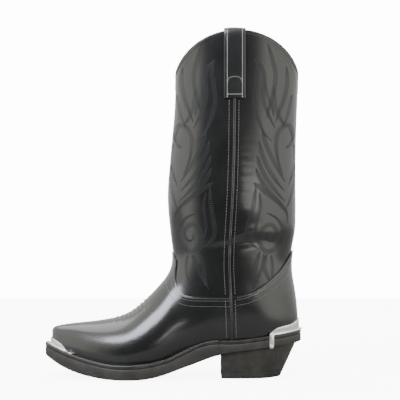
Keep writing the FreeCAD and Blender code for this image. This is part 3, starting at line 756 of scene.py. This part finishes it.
# %% Binding folded over the collar
rim = even(collar(0.0, 1.0, 240), 2.4)
RIM_INSET = 3.25  # depth of the middle of the leather at the collar
found = to_last(rim, RIM_INSET)
slices = np.concatenate([found[:, 0], found[1:-1, 0][::-1]])
angles = np.concatenate([found[:, 1], 2 * math.pi - found[1:-1, 1][::-1]])
rim_path = on_last(slices, angles, RIM_INSET)
rim_out = outward(slices, angles, RIM_INSET)
rim_up = unit(np.cross(rim_out, heading(rim_path, True)))
rim_up = rim_up * np.sign(rim_up[:, 2:3])
binding = strip("collar_binding", rim_path, rim_out, rim_up, rounded_bar(-1.75, 1.75, -3.6, 1.4, 0.9), True)
hand_over(binding, TRIM, "black_leather", "collar_binding")

# %% [markdown]
# ## Pull straps
#
# Each strap is a flat doubled strip that is sewn to the outside of the shaft, loops over the collar and is
# sewn again inside, bowed in far enough for a finger. The profile has a slight crown, as two layers of
# leather sewn along their edges do.

# %% Pull straps
STRAP_CENTRE, STRAP_HALF = -18.3, 12.0
STRAP_LINE = [(45.8, 310), (45.9, 345), (45.5, 378.5), (42.4, 386.5), (38.7, 383.2), (30.5, 370.5),
              (28.4, 358), (32.0, 343.8), (38.1, 331.8), (40.4, 321.5), (40.5, 310)]


def strap_frame(side, pitch=1.6):
    """Centre line of a strap, with its width direction and its outer face's normal."""
    line = even(curve_through(STRAP_LINE, 300), pitch)
    travel = heading(line)
    path = np.column_stack([np.full(len(line), STRAP_CENTRE), side * line[:, 0], line[:, 1]])
    face = np.column_stack([np.zeros(len(line)), side * travel[:, 1], -travel[:, 0]])
    return path, np.tile([1.0, 0.0, 0.0], (len(line), 1)), face


STRAP_FACE, STRAP_ROW_X = 0.95, 9.6  # half thickness, and the place of the furrow under each row


def crown(x):
    """How far a strap swells at a place across it."""
    return 0.25 - 0.75 * (x / STRAP_HALF) ** 2


def crowned(profile):
    return [(x, y + crown(x)) for x, y in profile]


def strap_profile():
    """The strap's section: two flat faces with several points each, and rounded edges."""
    xs = np.linspace(-STRAP_HALF + 0.6, STRAP_HALF - 0.6, 13)
    right = [(STRAP_HALF, 0.45), (STRAP_HALF, -0.45)]
    left = [(-STRAP_HALF, -0.45), (-STRAP_HALF, 0.45)]
    face = [(x, STRAP_FACE - 0.28 * math.exp(-((abs(x) - STRAP_ROW_X) / 0.55) ** 2)) for x in xs]
    return crowned([*face, *right, *[(x, -STRAP_FACE) for x in xs[::-1]], *left])


for side, label in ((-1, "lateral"), (1, "medial")):
    strap = strip(f"pull_strap_{label}", *strap_frame(side), strap_profile(), bend=50)
    hand_over(strap, STRAP, "strap_leather", f"pull_strap_{label}")

# %% [markdown]
# ## The bottom
#
# Welt, rand and outsole share one outline, the plan of the sole. The welt is the ledge that the upper is
# sewn to. The outsole is a slab whose underside rocks from toe to ball and climbs to the heel.

# %% Plan of the sole
PLAN = [(-231.5, 5), (-226, -6.5), (-208, -22), (-172, -40), (-135, -50.5), (-95, -44),
        (-55, -35.3), (-5, -35.8), (35, -28.8), (57.5, 0), (35, 28.8), (-5, 36.8),
        (-55, 38.5), (-95, 43.5), (-135, 49.3), (-172, 43), (-208, 31), (-226, 16.5)]


def closed_curve(points, count=900):
    """A smooth closed line through points."""
    p = np.array(points, float)
    t = np.linspace(0, len(p), count, endpoint=False)
    i = t.astype(int)
    f = (t - i)[:, None]
    return catmull(*(p[(i + k) % len(p)] for k in (-1, 0, 1, 2)), f)


PLAN_LINE = even(closed_curve(PLAN), 2.2, closed=True)


def plan_out(line, closed=True):
    """Outward directions of a plan line that runs toe, lateral side, heel, medial side."""
    travel = heading(line, closed)
    return np.column_stack([travel[:, 1], -travel[:, 0]])


def stretch(x0, x1, heel=False):
    """The part of the plan line between two places along the boot, round the toe or round the heel."""
    line = PLAN_LINE if heel else np.roll(PLAN_LINE, len(PLAN_LINE) // 2, axis=0)
    return line[(line[:, 0] >= x0) & (line[:, 0] <= x1)]


def ledge(name, line, profile, base):
    """A strip round the sole whose height follows the base line."""
    out = plan_out(line, False)
    flat_path = np.column_stack([line, np.zeros(len(line))])
    across = np.column_stack([out, np.zeros(len(line))])
    profile = np.asarray(profile, float)
    rings = flat_path[:, None] + across[:, None] * profile[None, :, 0:1]
    rings[:, :, 2] = base(rings[:, :, 0]) + profile[None, :, 1]
    return loft(name, rings)


HEEL_BREAST, WELT_SHEET = -33.0, 4.0
TOE_SIDE, HEEL_SIDE = -300, 90  # further than the sole reaches either way
welt = ledge("welt", stretch(TOE_SIDE, HEEL_BREAST), rounded_bar(-9.5, 0, -WELT_SHEET, 0, 0.9), seat_z)
hand_over(welt, WELT, "welt", "welt")
rand = ledge("heel_rand", stretch(HEEL_BREAST + 0.1, HEEL_SIDE, heel=True),
             rounded_bar(-6.5, 0, -WELT_SHEET, 0, 0.9), seat_z)
hand_over(rand, WELT, "welt", "heel_rand")


# %% Outsole
def slab(name, line, low, high, rows):
    """A slab inside a plan line; rows round its edge: (inset, share of thickness, extra height)."""
    out = plan_out(line)
    rings = []
    for inset, share, extra in rows:
        ring = line - out * inset
        z = low(ring[:, 0]) * (1 - share) + high(ring[:, 0]) * share + extra
        rings.append(np.column_stack([ring, z]))
    rings = np.array(rings)
    n, k = rings.shape[:2]
    vertices = [rings.reshape(-1, 3)]
    faces = [(i * k + m, i * k + (m + 1) % k, (i + 1) * k + (m + 1) % k, (i + 1) * k + m)
             for i in range(n - 1) for m in range(k)]
    for row, height in ((0, low), (n - 1, high)):
        plan, triangles = fill(rings[row][:, :2], 5.0)
        start = sum(len(v) for v in vertices)
        extra = rows[row][2]
        vertices.append(np.column_stack([plan, height(plan[:, 0]) + extra]))
        faces += [tuple(t + start) for t in triangles]
    piece = new_piece(name, np.vstack(vertices), faces)
    edit(piece, weld, outwards)
    smooth(piece, 40)
    return piece


edge_rows = [(1.3, 0, 0), (0.5, 0, 0.3), (0.1, 0, 0.8), (0, 0, 1.5), (0, 0.5, 0), (0.05, 1, -1.2),
             (0.35, 1, -0.4), (0.9, 1, -0.05)]
outsole = slab("outsole", PLAN_LINE, under_z, lambda x: seat_z(x) - WELT_SHEET, edge_rows)
hand_over(outsole, SOLE, "sole", "outsole")

# %% [markdown]
# ## The heel
#
# A western heel is underslung: its back leans in towards the ground. It is a stack of leather lifts with
# a hard rubber top lift, which is the bootmaker's name for the lowest one.

# %% Heel base and top lift
HEEL_END, HEEL_HALF, HEEL_SLOPE, HEEL_FLARE, LIFT = 34.0, 29.5, 0.46, 0.13, 7.0


def heel_ring(z):
    """The heel's outline where each point has its own height."""
    back = HEEL_END + HEEL_SLOPE * z
    half = HEEL_HALF + HEEL_FLARE * z
    waist, shoulder = (HEEL_BREAST + back) / 2 - 8, back - half * 0.55
    knots = [(HEEL_BREAST, 1.0 - half), (waist, -half), (shoulder, -half * 0.82), (back, 0.0),
             (shoulder, half * 0.82), (waist, half), (HEEL_BREAST, half - 1.0)]
    return even(curve_through(knots, 400), 2.0)


HEEL_MIDDLE = 20.0
HEEL_POINTS = len(heel_ring(HEEL_MIDDLE))


def heel_level(height):
    """A ring round the heel at the height given by a function of x."""
    ring = np.column_stack([even_count(heel_ring(HEEL_MIDDLE)), np.zeros(HEEL_POINTS)])
    for _ in range(4):
        z = height(ring[:, 0])
        keys = np.unique(np.round(z, 1))
        levels = [even_count(heel_ring(v)) for v in keys]
        which = np.searchsorted(keys, np.round(z, 1))
        ring = np.column_stack([np.array([levels[w][i] for i, w in enumerate(which)]), z])
    return ring


def even_count(line):
    """The same number of points for every level of the heel."""
    steps = np.linspace(0, len(line) - 1, HEEL_POINTS)
    index = np.arange(len(line))
    return np.column_stack([np.interp(steps, index, line[:, k]) for k in range(2)])


def stacked(name, shares, low, high):
    """Rings from one height to another, shares of the way up."""
    rings = [heel_level(lambda x, f=f: low(x) * (1 - f) + high(x) * f) for f in shares]
    piece = loft(name, np.array(rings), bend=30)
    round_edges(piece, 0.6, 3, 55)
    smooth(piece, 35)
    return piece


heel = stacked("heel_base", np.linspace(0, 1, 9),
               lambda x: LIFT + 0.03 + 0 * x, lambda x: under_z(x) + 0.05)
hand_over(heel, HEEL, "heel", "heel_base")
lift = stacked("top_lift", (0, 0.5, 1), lambda x: 0 * x, lambda x: LIFT + 0 * x)
hand_over(lift, RUBBER, "top_lift", "top_lift")

# %% [markdown]
# ## Plated guards
#
# The guards are pressed from thin sheet to fit the boot, so they are cut from the last in the same way as
# the leather, just outside it. A foot lies on the welt, and screws hold the ends.

# %% Toe guard
GUARD_SHEET, GUARD_CLEAR = 1.25, 0.15
TOE_GUARD_TOP = [(-236, 45.5), (-224, 43.5), (-216, 40), (-210, 35), (-205.5, 29.8), (-196, 22)]
HEEL_GUARD_TOP = [(19.8, 45.0), (22.5, 50.5), (28, 55.5), (34, 57.6), (46, 60.2), (58, 66), (70, 72)]
guard_inset = -GUARD_CLEAR - GUARD_SHEET


def above_seat(points, lift_by):
    """The part of a line that lies above the seat."""
    p = np.asarray(points)
    return p[p[:, 1] > seat_z(p[:, 0]) + lift_by]


toe_line = above_seat(trimmed(curve_through(TOE_GUARD_TOP, 300), TOE_TIP), GUARD_CLEAR)
toe_foot = trimmed(SEAT_LINE, TOE_TIP, toe_line[-1][0]) + np.array([0, GUARD_CLEAR])
wall = cut_leather("toe_wall", on_pattern(toe_foot, guard_inset), on_pattern(toe_line[::-1], guard_inset),
                   inset=guard_inset, thickness=GUARD_SHEET, pitch=1.6, round_edge=0.3)
toe_shelf = ledge("toe_shelf", stretch(TOE_SIDE, toe_line[-1][0] + 4),
                  rounded_bar(-6.2, -1.3, 0.1, 1.05, 0.3), seat_z)


def joined(name, *pieces):
    """Joins pieces into one, named name."""
    deselect()
    for piece in pieces:
        piece.select_set(True)
    bpy.context.view_layer.objects.active = pieces[0]
    bpy.ops.object.join()
    whole = bpy.context.object
    whole.name = whole.data.name = name
    return whole


hand_over(joined("toe_guard", wall, toe_shelf), CHROME, "chrome", "toe_guard")


# %% Heel guard with its two tabs
def plan_y(x, side):
    """Half width of the sole's plan at a place along the heel."""
    half = PLAN_LINE[(PLAN_LINE[:, 1] * side > 0) & (PLAN_LINE[:, 0] > -60)]
    half = half[np.argsort(half[:, 0])]
    return float(np.interp(x, half[:, 0], half[:, 1]))


TAB_X, TAB_Z, TAB_HALF = 22.5, 36.5, 2.7
TAB_YAW = math.atan2(plan_y(TAB_X - 3, 1) - plan_y(TAB_X + 3, 1), 6.0)


def tab(side):
    """A plate with a round end: a circle whose upper half is pulled up, then given its thickness."""
    deselect()
    face_y = plan_y(TAB_X, side) + side * (GUARD_CLEAR + 0.1)
    bpy.ops.mesh.primitive_circle_add(vertices=28, radius=TAB_HALF * MM, fill_type="NGON",
                                      rotation=(math.radians(90), 0, 0), location=(0, 0, 0))
    plate = bpy.context.object
    settle(plate)
    bpy.ops.object.mode_set(mode="EDIT")
    bpy.ops.mesh.select_all(action="DESELECT")
    bpy.ops.object.mode_set(mode="OBJECT")
    for vertex in plate.data.vertices:
        vertex.select = vertex.co.z > -1e-6
    bpy.ops.object.mode_set(mode="EDIT")
    bpy.ops.transform.translate(value=(0, 0, (seat_z(TAB_X) + 1.2 - TAB_Z) * MM))
    bpy.ops.mesh.select_all(action="SELECT")
    bpy.ops.mesh.extrude_region_move(TRANSFORM_OT_translate={"value": (0, side * GUARD_SHEET * MM, 0)})
    bpy.ops.mesh.select_all(action="SELECT")
    outwards()
    bpy.ops.object.mode_set(mode="OBJECT")
    round_edges(plate, 0.3)
    plate.rotation_euler = (0, 0, -side * TAB_YAW)
    plate.location = (TAB_X * MM, face_y * MM, TAB_Z * MM)
    settle(plate)
    smooth(plate)
    return plate


heel_line = above_seat(curve_through(HEEL_GUARD_TOP, 300), GUARD_CLEAR)
heel_foot = trimmed(SEAT_LINE, heel_line[0][0], 62) + np.array([0, GUARD_CLEAR])
heel_low, heel_high = (off_centre(on_pattern(line, guard_inset)) for line in (heel_foot, heel_line))
back_line = along_edge(heel_low[-1] + [0.6, 0], heel_high[-1] + [0.6, 0], 0.0)
heel_wall = cut_leather("heel_wall", heel_low, back_line, heel_high[::-1],
                        inset=guard_inset, thickness=GUARD_SHEET, pitch=1.6, round_edge=0.3)
heel_shelf = ledge("heel_shelf", stretch(TAB_X - TAB_HALF, HEEL_SIDE, heel=True),
                   rounded_bar(-5.0, GUARD_CLEAR + GUARD_SHEET, 0.12, 1.3, 0.35), seat_z)
hand_over(joined("heel_guard", heel_wall, heel_shelf, tab(-1), tab(1)), CHROME, "chrome", "heel_guard")


# %% Guard screws
def screw_pair(name, *places):
    """Domed slotted screws, modelled once and copied, each turned to its own direction."""
    deselect()
    bpy.ops.mesh.primitive_cylinder_add(vertices=24, radius=1.9 * MM, depth=1.2 * MM,
                                        location=(0, 0, 0.4 * MM))
    head = bpy.context.object
    settle(head)
    round_edges(head, 0.45, 3)
    bpy.ops.mesh.primitive_cube_add(size=1, location=(0, 0, 1.0 * MM))
    blade = bpy.context.object
    blade.scale = (6 * MM, 0.5 * MM, 1.0 * MM)
    settle(blade)
    apply_modifier(head, "BOOLEAN", object=blade, operation="DIFFERENCE", solver="EXACT")
    bpy.data.objects.remove(blade)
    copies = []
    for place_at, axis, turn in places:
        copy = bpy.data.objects.new(name, head.data.copy())
        bpy.context.scene.collection.objects.link(copy)
        copy.rotation_mode = "QUATERNION"
        spin = Vector((0, 0, 1)).rotation_difference(Vector(axis))
        slot_way = Vector((math.cos(turn), math.sin(turn), 0))
        copy.rotation_quaternion = spin @ Vector((1, 0, 0)).rotation_difference(slot_way)
        copy.location = [v * MM for v in place_at]
        settle(copy)
        copies.append(copy)
    bpy.data.objects.remove(head)
    pair = joined(name, *copies)
    smooth(pair)
    return pair


TOE_SCREW_X, TAB_OUT = -205.4, GUARD_CLEAR + GUARD_SHEET
toe_spots = [((TOE_SCREW_X, y, seat_z(TOE_SCREW_X) + 1.0), (0.27, 0, 1), turn)
             for y, turn in ((-22.2, 0.6), (30.2, 1.9))]
heel_spots = [((TAB_X, plan_y(TAB_X, side) + side * TAB_OUT, TAB_Z), (math.sin(TAB_YAW), side, 0), turn)
              for side, turn in ((-1, 0.5), (1, 1.2))]
hand_over(screw_pair("toe_guard_screws", *toe_spots), CHROME, "chrome", "toe_guard_screws")
hand_over(screw_pair("heel_guard_screws", *heel_spots), CHROME, "chrome", "heel_guard_screws")

# %% [markdown]
# ## Thread
#
# A row of lockstitch is a string of short raised stitches with a hole between each two. One stitch is
# modelled with a few faces, and copied along every row, pressed a little into the leather. Thousands of
# small copies in one mesh are light, and they catch the light as real thread does, which a painted line
# can't.

# %% One stitch and its copies
deselect()
bpy.ops.mesh.primitive_uv_sphere_add(segments=6, ring_count=4, radius=0.5 * MM)
stitch = bpy.context.object
bpy.ops.object.mode_set(mode="EDIT")
bpy.ops.mesh.select_all(action="SELECT")
bpy.ops.transform.rotate(value=math.radians(90), orient_axis="Y", center_override=(0, 0, 0))
bpy.ops.object.mode_set(mode="OBJECT")
STITCH = np.array([v.co for v in stitch.data.vertices]) / MM
STITCH_FACES = [tuple(p.vertices) for p in stitch.data.polygons]
bpy.data.objects.remove(stitch)


STITCH_SHARE = 0.86  # of the pitch; the rest is the hole between two stitches
SINK = 0.05


def sew(name, rows, material, slot, pitch, width, height):
    """Sews rows, each a (path, normals) pair, into one piece."""
    vertices, faces = [], []
    start = 0
    for path, normals in rows:
        line = even(np.hstack([path, normals]), pitch)
        if len(line) < 3:
            continue
        middle = 0.5 * (line[1:] + line[:-1])
        travel = unit(line[1:, :3] - line[:-1, :3])
        up = unit(middle[:, 3:])
        across = unit(np.cross(travel, up))
        up = np.cross(across, travel)
        length = np.linalg.norm(line[1:, :3] - line[:-1, :3], axis=1) * STITCH_SHARE
        shape = (travel[:, None] * (STITCH[None, :, 0:1] * length[:, None, None])
                 + across[:, None] * (STITCH[None, :, 1:2] * width)
                 + up[:, None] * (STITCH[None, :, 2:3] * height))
        shape += (middle[:, :3] - up * SINK)[:, None]
        for copy in shape:
            vertices.append(copy)
            faces += [tuple(v + start for v in face) for face in STITCH_FACES]
            start += len(STITCH)
    piece = new_piece(name, np.vstack(vertices), faces)
    smooth(piece, 60)
    return hand_over(piece, material, slot)


def shifted(line, offset):
    """A side-view line moved sideways by an offset, a number or one for each point."""
    line = np.asarray(line, float)
    travel = heading(line)
    return line + np.column_stack([-travel[:, 1], travel[:, 0]]) * np.reshape(offset, (-1, 1))


def both_sides(line, inset):
    return [side_path(line, inset, side) for side in (-1, 1)]


# %% Seam, edge and collar rows
seam_rows = []
for shift in (-6.0, 4.7):
    for z0, z1, inset in ((SEAM_FOOT + 3, 88, 0.0), (93.5, PIPING_TOP - 1, SHAFT_INSET)):
        seam_rows += both_sides(seam_side(z0, z1, shift), inset)
sew("side_seam_thread", seam_rows, SEAM_THREAD, "black_leather", 3.4, 0.85, 0.6)

vamp_edge, counter_edge = curve_through(VAMP_EDGE, 200), curve_through(COUNTER_EDGE, 200)
edge_rows_sewn = []
for down in (1.8, 4.4, 10.5):
    edge_rows_sewn += both_sides(trimmed(shifted(vamp_edge, down), x1=-22.5), 0.0)
    edge_rows_sewn += both_sides(trimmed(shifted(counter_edge, -down), x0=-16.5), 0.0)
sew("edge_thread", edge_rows_sewn, SEAM_THREAD, "black_leather", 2.4, 0.6, 0.5)

HEM = 5.6  # how far the collar's row runs inside its edge
hem = collar(0.02, 0.98, 200)
centre = np.array([DOME_CENTRE, VALLEY])
hem = centre + (hem - centre) * (1 - HEM / np.linalg.norm(hem - centre, axis=1))[:, None]
hem = hem[np.abs(hem[:, 0] - STRAP_CENTRE) > STRAP_HALF + 0.5]
split = int(np.argmax(np.diff(hem[:, 0]))) + 1
hem_rows = both_sides(hem[:split], SHAFT_INSET) + both_sides(hem[split:], SHAFT_INSET)
sew("collar_thread", hem_rows, FLAME_THREAD, "black_leather", 2.4, 0.6, 0.5)

# %% Strap rows
STRAP_ROW, BOX_FOOT, BOX_SHOULDER, BOX_ARCH = 8.3, 314.0, 327.0, 6.5
strap_rows = []
for side in (-1, 1):
    path, across, face = strap_frame(side, 0.8)
    for x in (-STRAP_ROW, STRAP_ROW):
        strap_rows.append((path + across * x + face * (STRAP_FACE + crown(x) - 0.15), face))
    outer_face = path[(path[:, 2] < 345) & (path[:, 1] * side > 43)]
    surface = float(np.mean(outer_face[:, 1]))
    x = np.linspace(-STRAP_ROW, STRAP_ROW, 25)
    y = surface + side * (STRAP_FACE + crown(x) - 0.1)
    arch = BOX_SHOULDER + BOX_ARCH * np.sqrt(np.clip(1 - (x / STRAP_ROW) ** 2, 0, 1))
    for z in (np.full(25, BOX_FOOT), arch):
        row = np.column_stack([STRAP_CENTRE + x, y, z])
        strap_rows.append((row, np.tile([0.0, side, 0.0], (25, 1))))
sew("strap_thread", strap_rows, STRAP_THREAD, "strap_leather", 2.6, 0.85, 0.65)

# %% Welt row
TIP_X, TIP_Y, GUARDED = -231, 5, 33  # the sole's tip in plan, and how far round it the toe guard covers
welt_line = stretch(TOE_SIDE, HEEL_BREAST - 3)
welt_line = welt_line - plan_out(welt_line, False) * 2.6
welt_path = np.column_stack([welt_line, seat_z(welt_line[:, 0])])
on_welt = np.hypot(welt_line[:, 0] - TIP_X, welt_line[:, 1] - TIP_Y) > GUARDED
lateral = welt_line[:, 1] < TIP_Y
halves = [welt_path[on_welt & lateral], welt_path[on_welt & ~lateral]]
sew("welt_thread", [(half, np.tile([0.0, 0.0, 1.0], (len(half), 1))) for half in halves],
    SEAM_THREAD, "black_leather", 3.2, 0.85, 0.7)

# %% [markdown]
# The shaft's flames are bands of three or four close rows. Each stroke below is the middle of a band, as
# places in millimetres on the front half of the shaft seen from the side. The rows of a band spread from
# a point at each end. The same strokes are turned over about the side seam for the back half, and sewn on
# both sides of the boot.

# %% Flames on the shaft
STROKES = [  # rows in the band, and its places from the top down
    (4, [(-40, 352), (-43.5, 346), (-43, 336), (-41, 321), (-40, 307), (-42, 295), (-46.5, 282), (-52, 271),
         (-60.5, 263)]),
    (4, [(-41, 351), (-48.5, 343), (-51, 330), (-49.5, 316), (-52, 302), (-58.5, 287), (-64, 277)]),
    (4, [(-54.5, 370), (-59.5, 354), (-63.5, 335), (-61.5, 318), (-57, 300), (-54, 288)]),
    (4, [(-61.5, 322), (-63.5, 302), (-69, 289), (-75, 280)]),
    (4, [(-76, 346), (-77, 330), (-74.5, 313), (-69, 298), (-64, 284)]),
    (3, [(-83, 316), (-80, 301), (-76.5, 288), (-72, 279)]),
    (3, [(-51, 330), (-55, 312), (-60, 300), (-62, 290)]),
    (4, [(-84, 262), (-85.5, 272), (-80, 281), (-71, 278), (-66, 268), (-66, 254), (-69, 240), (-75, 226)]),
    (3, [(-77, 256), (-82, 260), (-84, 269), (-80, 277)]),
    (4, [(-50, 274), (-53, 262), (-60, 247), (-69, 232), (-78, 218)]),
    (4, [(-46, 263), (-50, 249), (-57, 234), (-67, 220), (-78, 208)]),
    (4, [(-44.5, 247), (-49, 235), (-57, 221), (-68, 208), (-80, 196)]),
    (4, [(-44, 233), (-50.5, 220), (-62, 206), (-75, 194), (-85, 183)]),
    (4, [(-42.5, 217), (-50, 212), (-61, 203.5), (-73, 195), (-83, 184), (-86, 172)]),
    (3, [(-86, 262), (-88, 246), (-87, 230), (-82, 214)]),
    (3, [(-89, 238), (-89, 218), (-86, 200), (-82, 188)]),
    (4, [(-45.5, 214), (-45, 197), (-43, 182), (-40.5, 168), (-41.5, 157), (-48, 149), (-56, 144)]),
    (3, [(-50, 206), (-52.5, 191), (-50.5, 176), (-50, 165), (-53, 154)]),
    (4, [(-60, 184), (-72, 178), (-80, 167), (-80.5, 155), (-74, 144.5), (-65, 141), (-57.5, 148),
         (-55, 159), (-59, 168), (-66.5, 171), (-73, 165), (-73, 157), (-68, 152.5), (-63.5, 156.5),
         (-65.5, 161)]),
    (4, [(-57.5, 141), (-54, 129), (-52, 117), (-50.5, 107), (-47, 99.5)]),
    (3, [(-62, 139), (-60.5, 126), (-56, 115), (-50, 103)]),
    (4, [(-65, 138), (-62.5, 124), (-65.5, 114), (-69, 105)]),
    (3, [(-70, 137), (-72, 126), (-71, 115), (-69, 106)]),
]
ROW_GAP = 1.25
ahead_rows, behind_rows = [], []
for count, places in STROKES:
    middle = curve_through(places, 120)
    t = np.linspace(0, 1, len(middle))
    belly = np.clip(np.sin(math.pi * t ** 0.75) * 1.35, 0, 1)
    for k in range(count):
        row = shifted(middle, (k - (count - 1) / 2) * ROW_GAP * belly)
        mirrored = np.column_stack([2 * seam_x(row[:, 1]) - row[:, 0], row[:, 1]])
        for half, found in ((row, ahead_rows), (mirrored, behind_rows)):
            a = to_last(half, SHAFT_INSET)[:, 1]
            kept = half[(a < math.pi - 0.03) & (a > 0.03)]
            if len(kept) > 8:
                found += both_sides(kept, SHAFT_INSET)
sew("front_flame_thread", ahead_rows, FLAME_THREAD, "black_leather", 2.1, 1.2, 0.6)
sew("back_flame_thread", behind_rows, FLAME_THREAD, "black_leather", 2.1, 1.2, 0.6)


# %% Toe bug: rows between the raised cords, and its tails
def slice_for(x, a):
    """The slice at which the last's surface is at x, for each angle a, ahead of the ankle."""
    s_grid = np.linspace(0, 12, 500)
    xs = np.array([on_last(s_grid, np.full(500, v), 0.0)[:, 0] for v in a])
    return np.array([np.interp(target, row, s_grid) for target, row in zip(x, xs)])


FIRST_CORD, CORDS, TAILS_START = -36, 10, -159
bug_rows = []
for k in range(CORDS):
    reach = 0.62 - 0.018 * k
    off = np.linspace(-reach, reach, 60)
    a = math.pi + off
    x = (FIRST_CORD + k + 0.5) * BUG_PITCH + BUG_SLANT * np.abs(off) + 1.2 * np.cos(off * 16)
    bug_rows.append(skin(slice_for(x, a), a, 0.0))
for offset, tip in ((0.10, -178), (0.26, -186), (0.42, -176)):
    for way in (-1, 1):
        t = np.linspace(0, 1, 40)
        a = math.pi + way * offset * (1 - 0.55 * t ** 2)
        bug_rows.append(skin(slice_for(TAILS_START + (tip - TAILS_START) * t, a), a, 0.0))
sew("toe_bug_thread", bug_rows, SEAM_THREAD, "black_leather", 2.1, 0.6, 0.5)

# %% [markdown]
# ## Pieces that stay as the CAD made them
#
# Stiffeners, insole, shank, cork and nails are inside the boot, and their shapes are already right. Each
# gets its own material, and its mesh is left alone.

# %% Materials for the hidden pieces
HIDDEN = {
    "toe_box": BOARD, "vamp_interlining": BOARD, "heel_counter_stiffener": BOARD,
    "vamp_lining": LINING, "heel_lining": LINING, "sock_lining": LINING,
    "insole": INSOLE, "cork_filler": CORK, "steel_shank": STEEL, "heel_nails": STEEL,
}
for node, material in HIDDEN.items():
    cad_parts[node].data.materials.clear()
    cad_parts[node].data.materials.append(material)

# %% [markdown]
# ## A white studio
#
# Black gloss shows only what it reflects. The room is plain grey light on both sides, behind and above,
# and dark at the front, so that the middle of the shaft stays black and its sides carry wide soft
# reflections. The table and the room are brighter seen directly than they are for the light that falls on
# the boot: a Light Path node shows a pale table and a white room, while the reflections see a grey table
# and the grey room. An evenly bright table would turn the vamp and the heel grey.

# %% Table
TABLE = (-0.06, 0.42)  # its middle in plan, in metres
bpy.ops.mesh.primitive_plane_add(size=1.0, location=(*TABLE, -0.0003))
floor = bpy.context.object
floor.name = "floor"
floor.scale = (3.6, 1.5, 1)  # metres along and across
settle(floor)
paint, tree, shader, place = blank_material("pale_floor")
seen = tree.nodes.new("ShaderNodeLightPath").outputs["Is Camera Ray"]
GREY, PALE = (0.20, 0.20, 0.20), (0.88, 0.88, 0.88)
tree.links.new(ramp(tree, seen, (0.0, GREY), (1.0, PALE)), shader.inputs["Base Color"])
tree.links.new(ramp(tree, noise(tree, place, 2), (0.3, (0.97, 0.97, 0.97)), (0.7, (1.0, 1.0, 1.0))),
               shader.inputs["Emission Color"])
tree.links.new(spread(tree, seen, 0.0, 8.0), shader.inputs["Emission Strength"])
shader.inputs["Roughness"].default_value = 0.7
floor.data.materials.append(paint)

# %% Room: white seen directly, and a dark front in the reflections
DARK_WAY = (-0.165, -0.986, 0.0)  # middle of the dark part of the room
world = bpy.data.worlds.new("grey_room")
bpy.context.scene.world = world
world.use_nodes = True
sky = world.node_tree
direct = sky.nodes["Background"]
direct.inputs["Color"].default_value = (1, 1, 1, 1)
direct.inputs["Strength"].default_value = 14.0
mirrored = sky.nodes.new("ShaderNodeBackground")
mirrored.inputs["Strength"].default_value = 2.1
facing = sky.nodes.new("ShaderNodeVectorMath")
facing.operation = "DOT_PRODUCT"
facing.inputs[1].default_value = DARK_WAY
sky.links.new(sky.nodes.new("ShaderNodeTexCoord").outputs["Generated"], facing.inputs[0])
away = sky.nodes.new("ShaderNodeMapRange")
away.inputs["From Min"].default_value = 1.0
away.inputs["From Max"].default_value = -1.0
sky.links.new(facing.outputs["Value"], away.inputs["Value"])
sky.links.new(ramp(sky, away.outputs["Result"], (0.0, (0.042, 0.047, 0.043)), (0.07, (0.060, 0.066, 0.060)),
                   (0.16, (1.0, 1.0, 0.90)), (0.5, (0.88, 0.88, 0.82)), (1.0, (0.5, 0.5, 0.5))),
              mirrored.inputs["Color"])
choice = sky.nodes.new("ShaderNodeMixShader")
sky.links.new(sky.nodes.new("ShaderNodeLightPath").outputs["Is Camera Ray"], choice.inputs[0])
sky.links.new(mirrored.outputs[0], choice.inputs[1])
sky.links.new(direct.outputs[0], choice.inputs[2])
sky.links.new(choice.outputs[0], sky.nodes["World Output"].inputs["Surface"])


# %% Soft boxes over the table and over the toe
def soft_box(name, place, target, size, power, tint=(1, 1, 1)):
    """A rectangular soft light that faces a target; power in watts."""
    light = bpy.data.lights.new(name, "AREA")
    light.shape = "RECTANGLE"
    light.size, light.size_y = size
    light.energy = power
    light.color = tint
    lamp = bpy.data.objects.new(name, light)
    bpy.context.scene.collection.objects.link(lamp)
    lamp.location = place
    lamp.rotation_euler = (Vector(target) - Vector(place)).to_track_quat("-Z", "Y").to_euler()


soft_box("table_box", (-0.1, 0.9, 1.6), (-0.05, 0.8, 0), (2.4, 1.2), 30, (0.97, 0.98, 1.0))
soft_box("guard_box", (0.5, -1.3, 0.16), (0.04, 0, 0.055), (0.5, 0.12), 1.0, (1.0, 0.98, 0.94))
soft_box("toe_box_light", (-0.65, -0.8, 1.05), (-0.15, 0, 0.06), (0.7, 0.5), 20, (0.84, 0.87, 1.0))

# %% Camera
camera = bpy.data.cameras.new("camera")
camera.lens = 119.5
camera.sensor_width = 36
eye = bpy.data.objects.new("camera", camera)
bpy.context.scene.collection.objects.link(eye)
eye.location = (-0.0565, -1.5, 0.198)
eye.rotation_euler = (math.radians(90), 0, 0)
bpy.context.scene.camera = eye
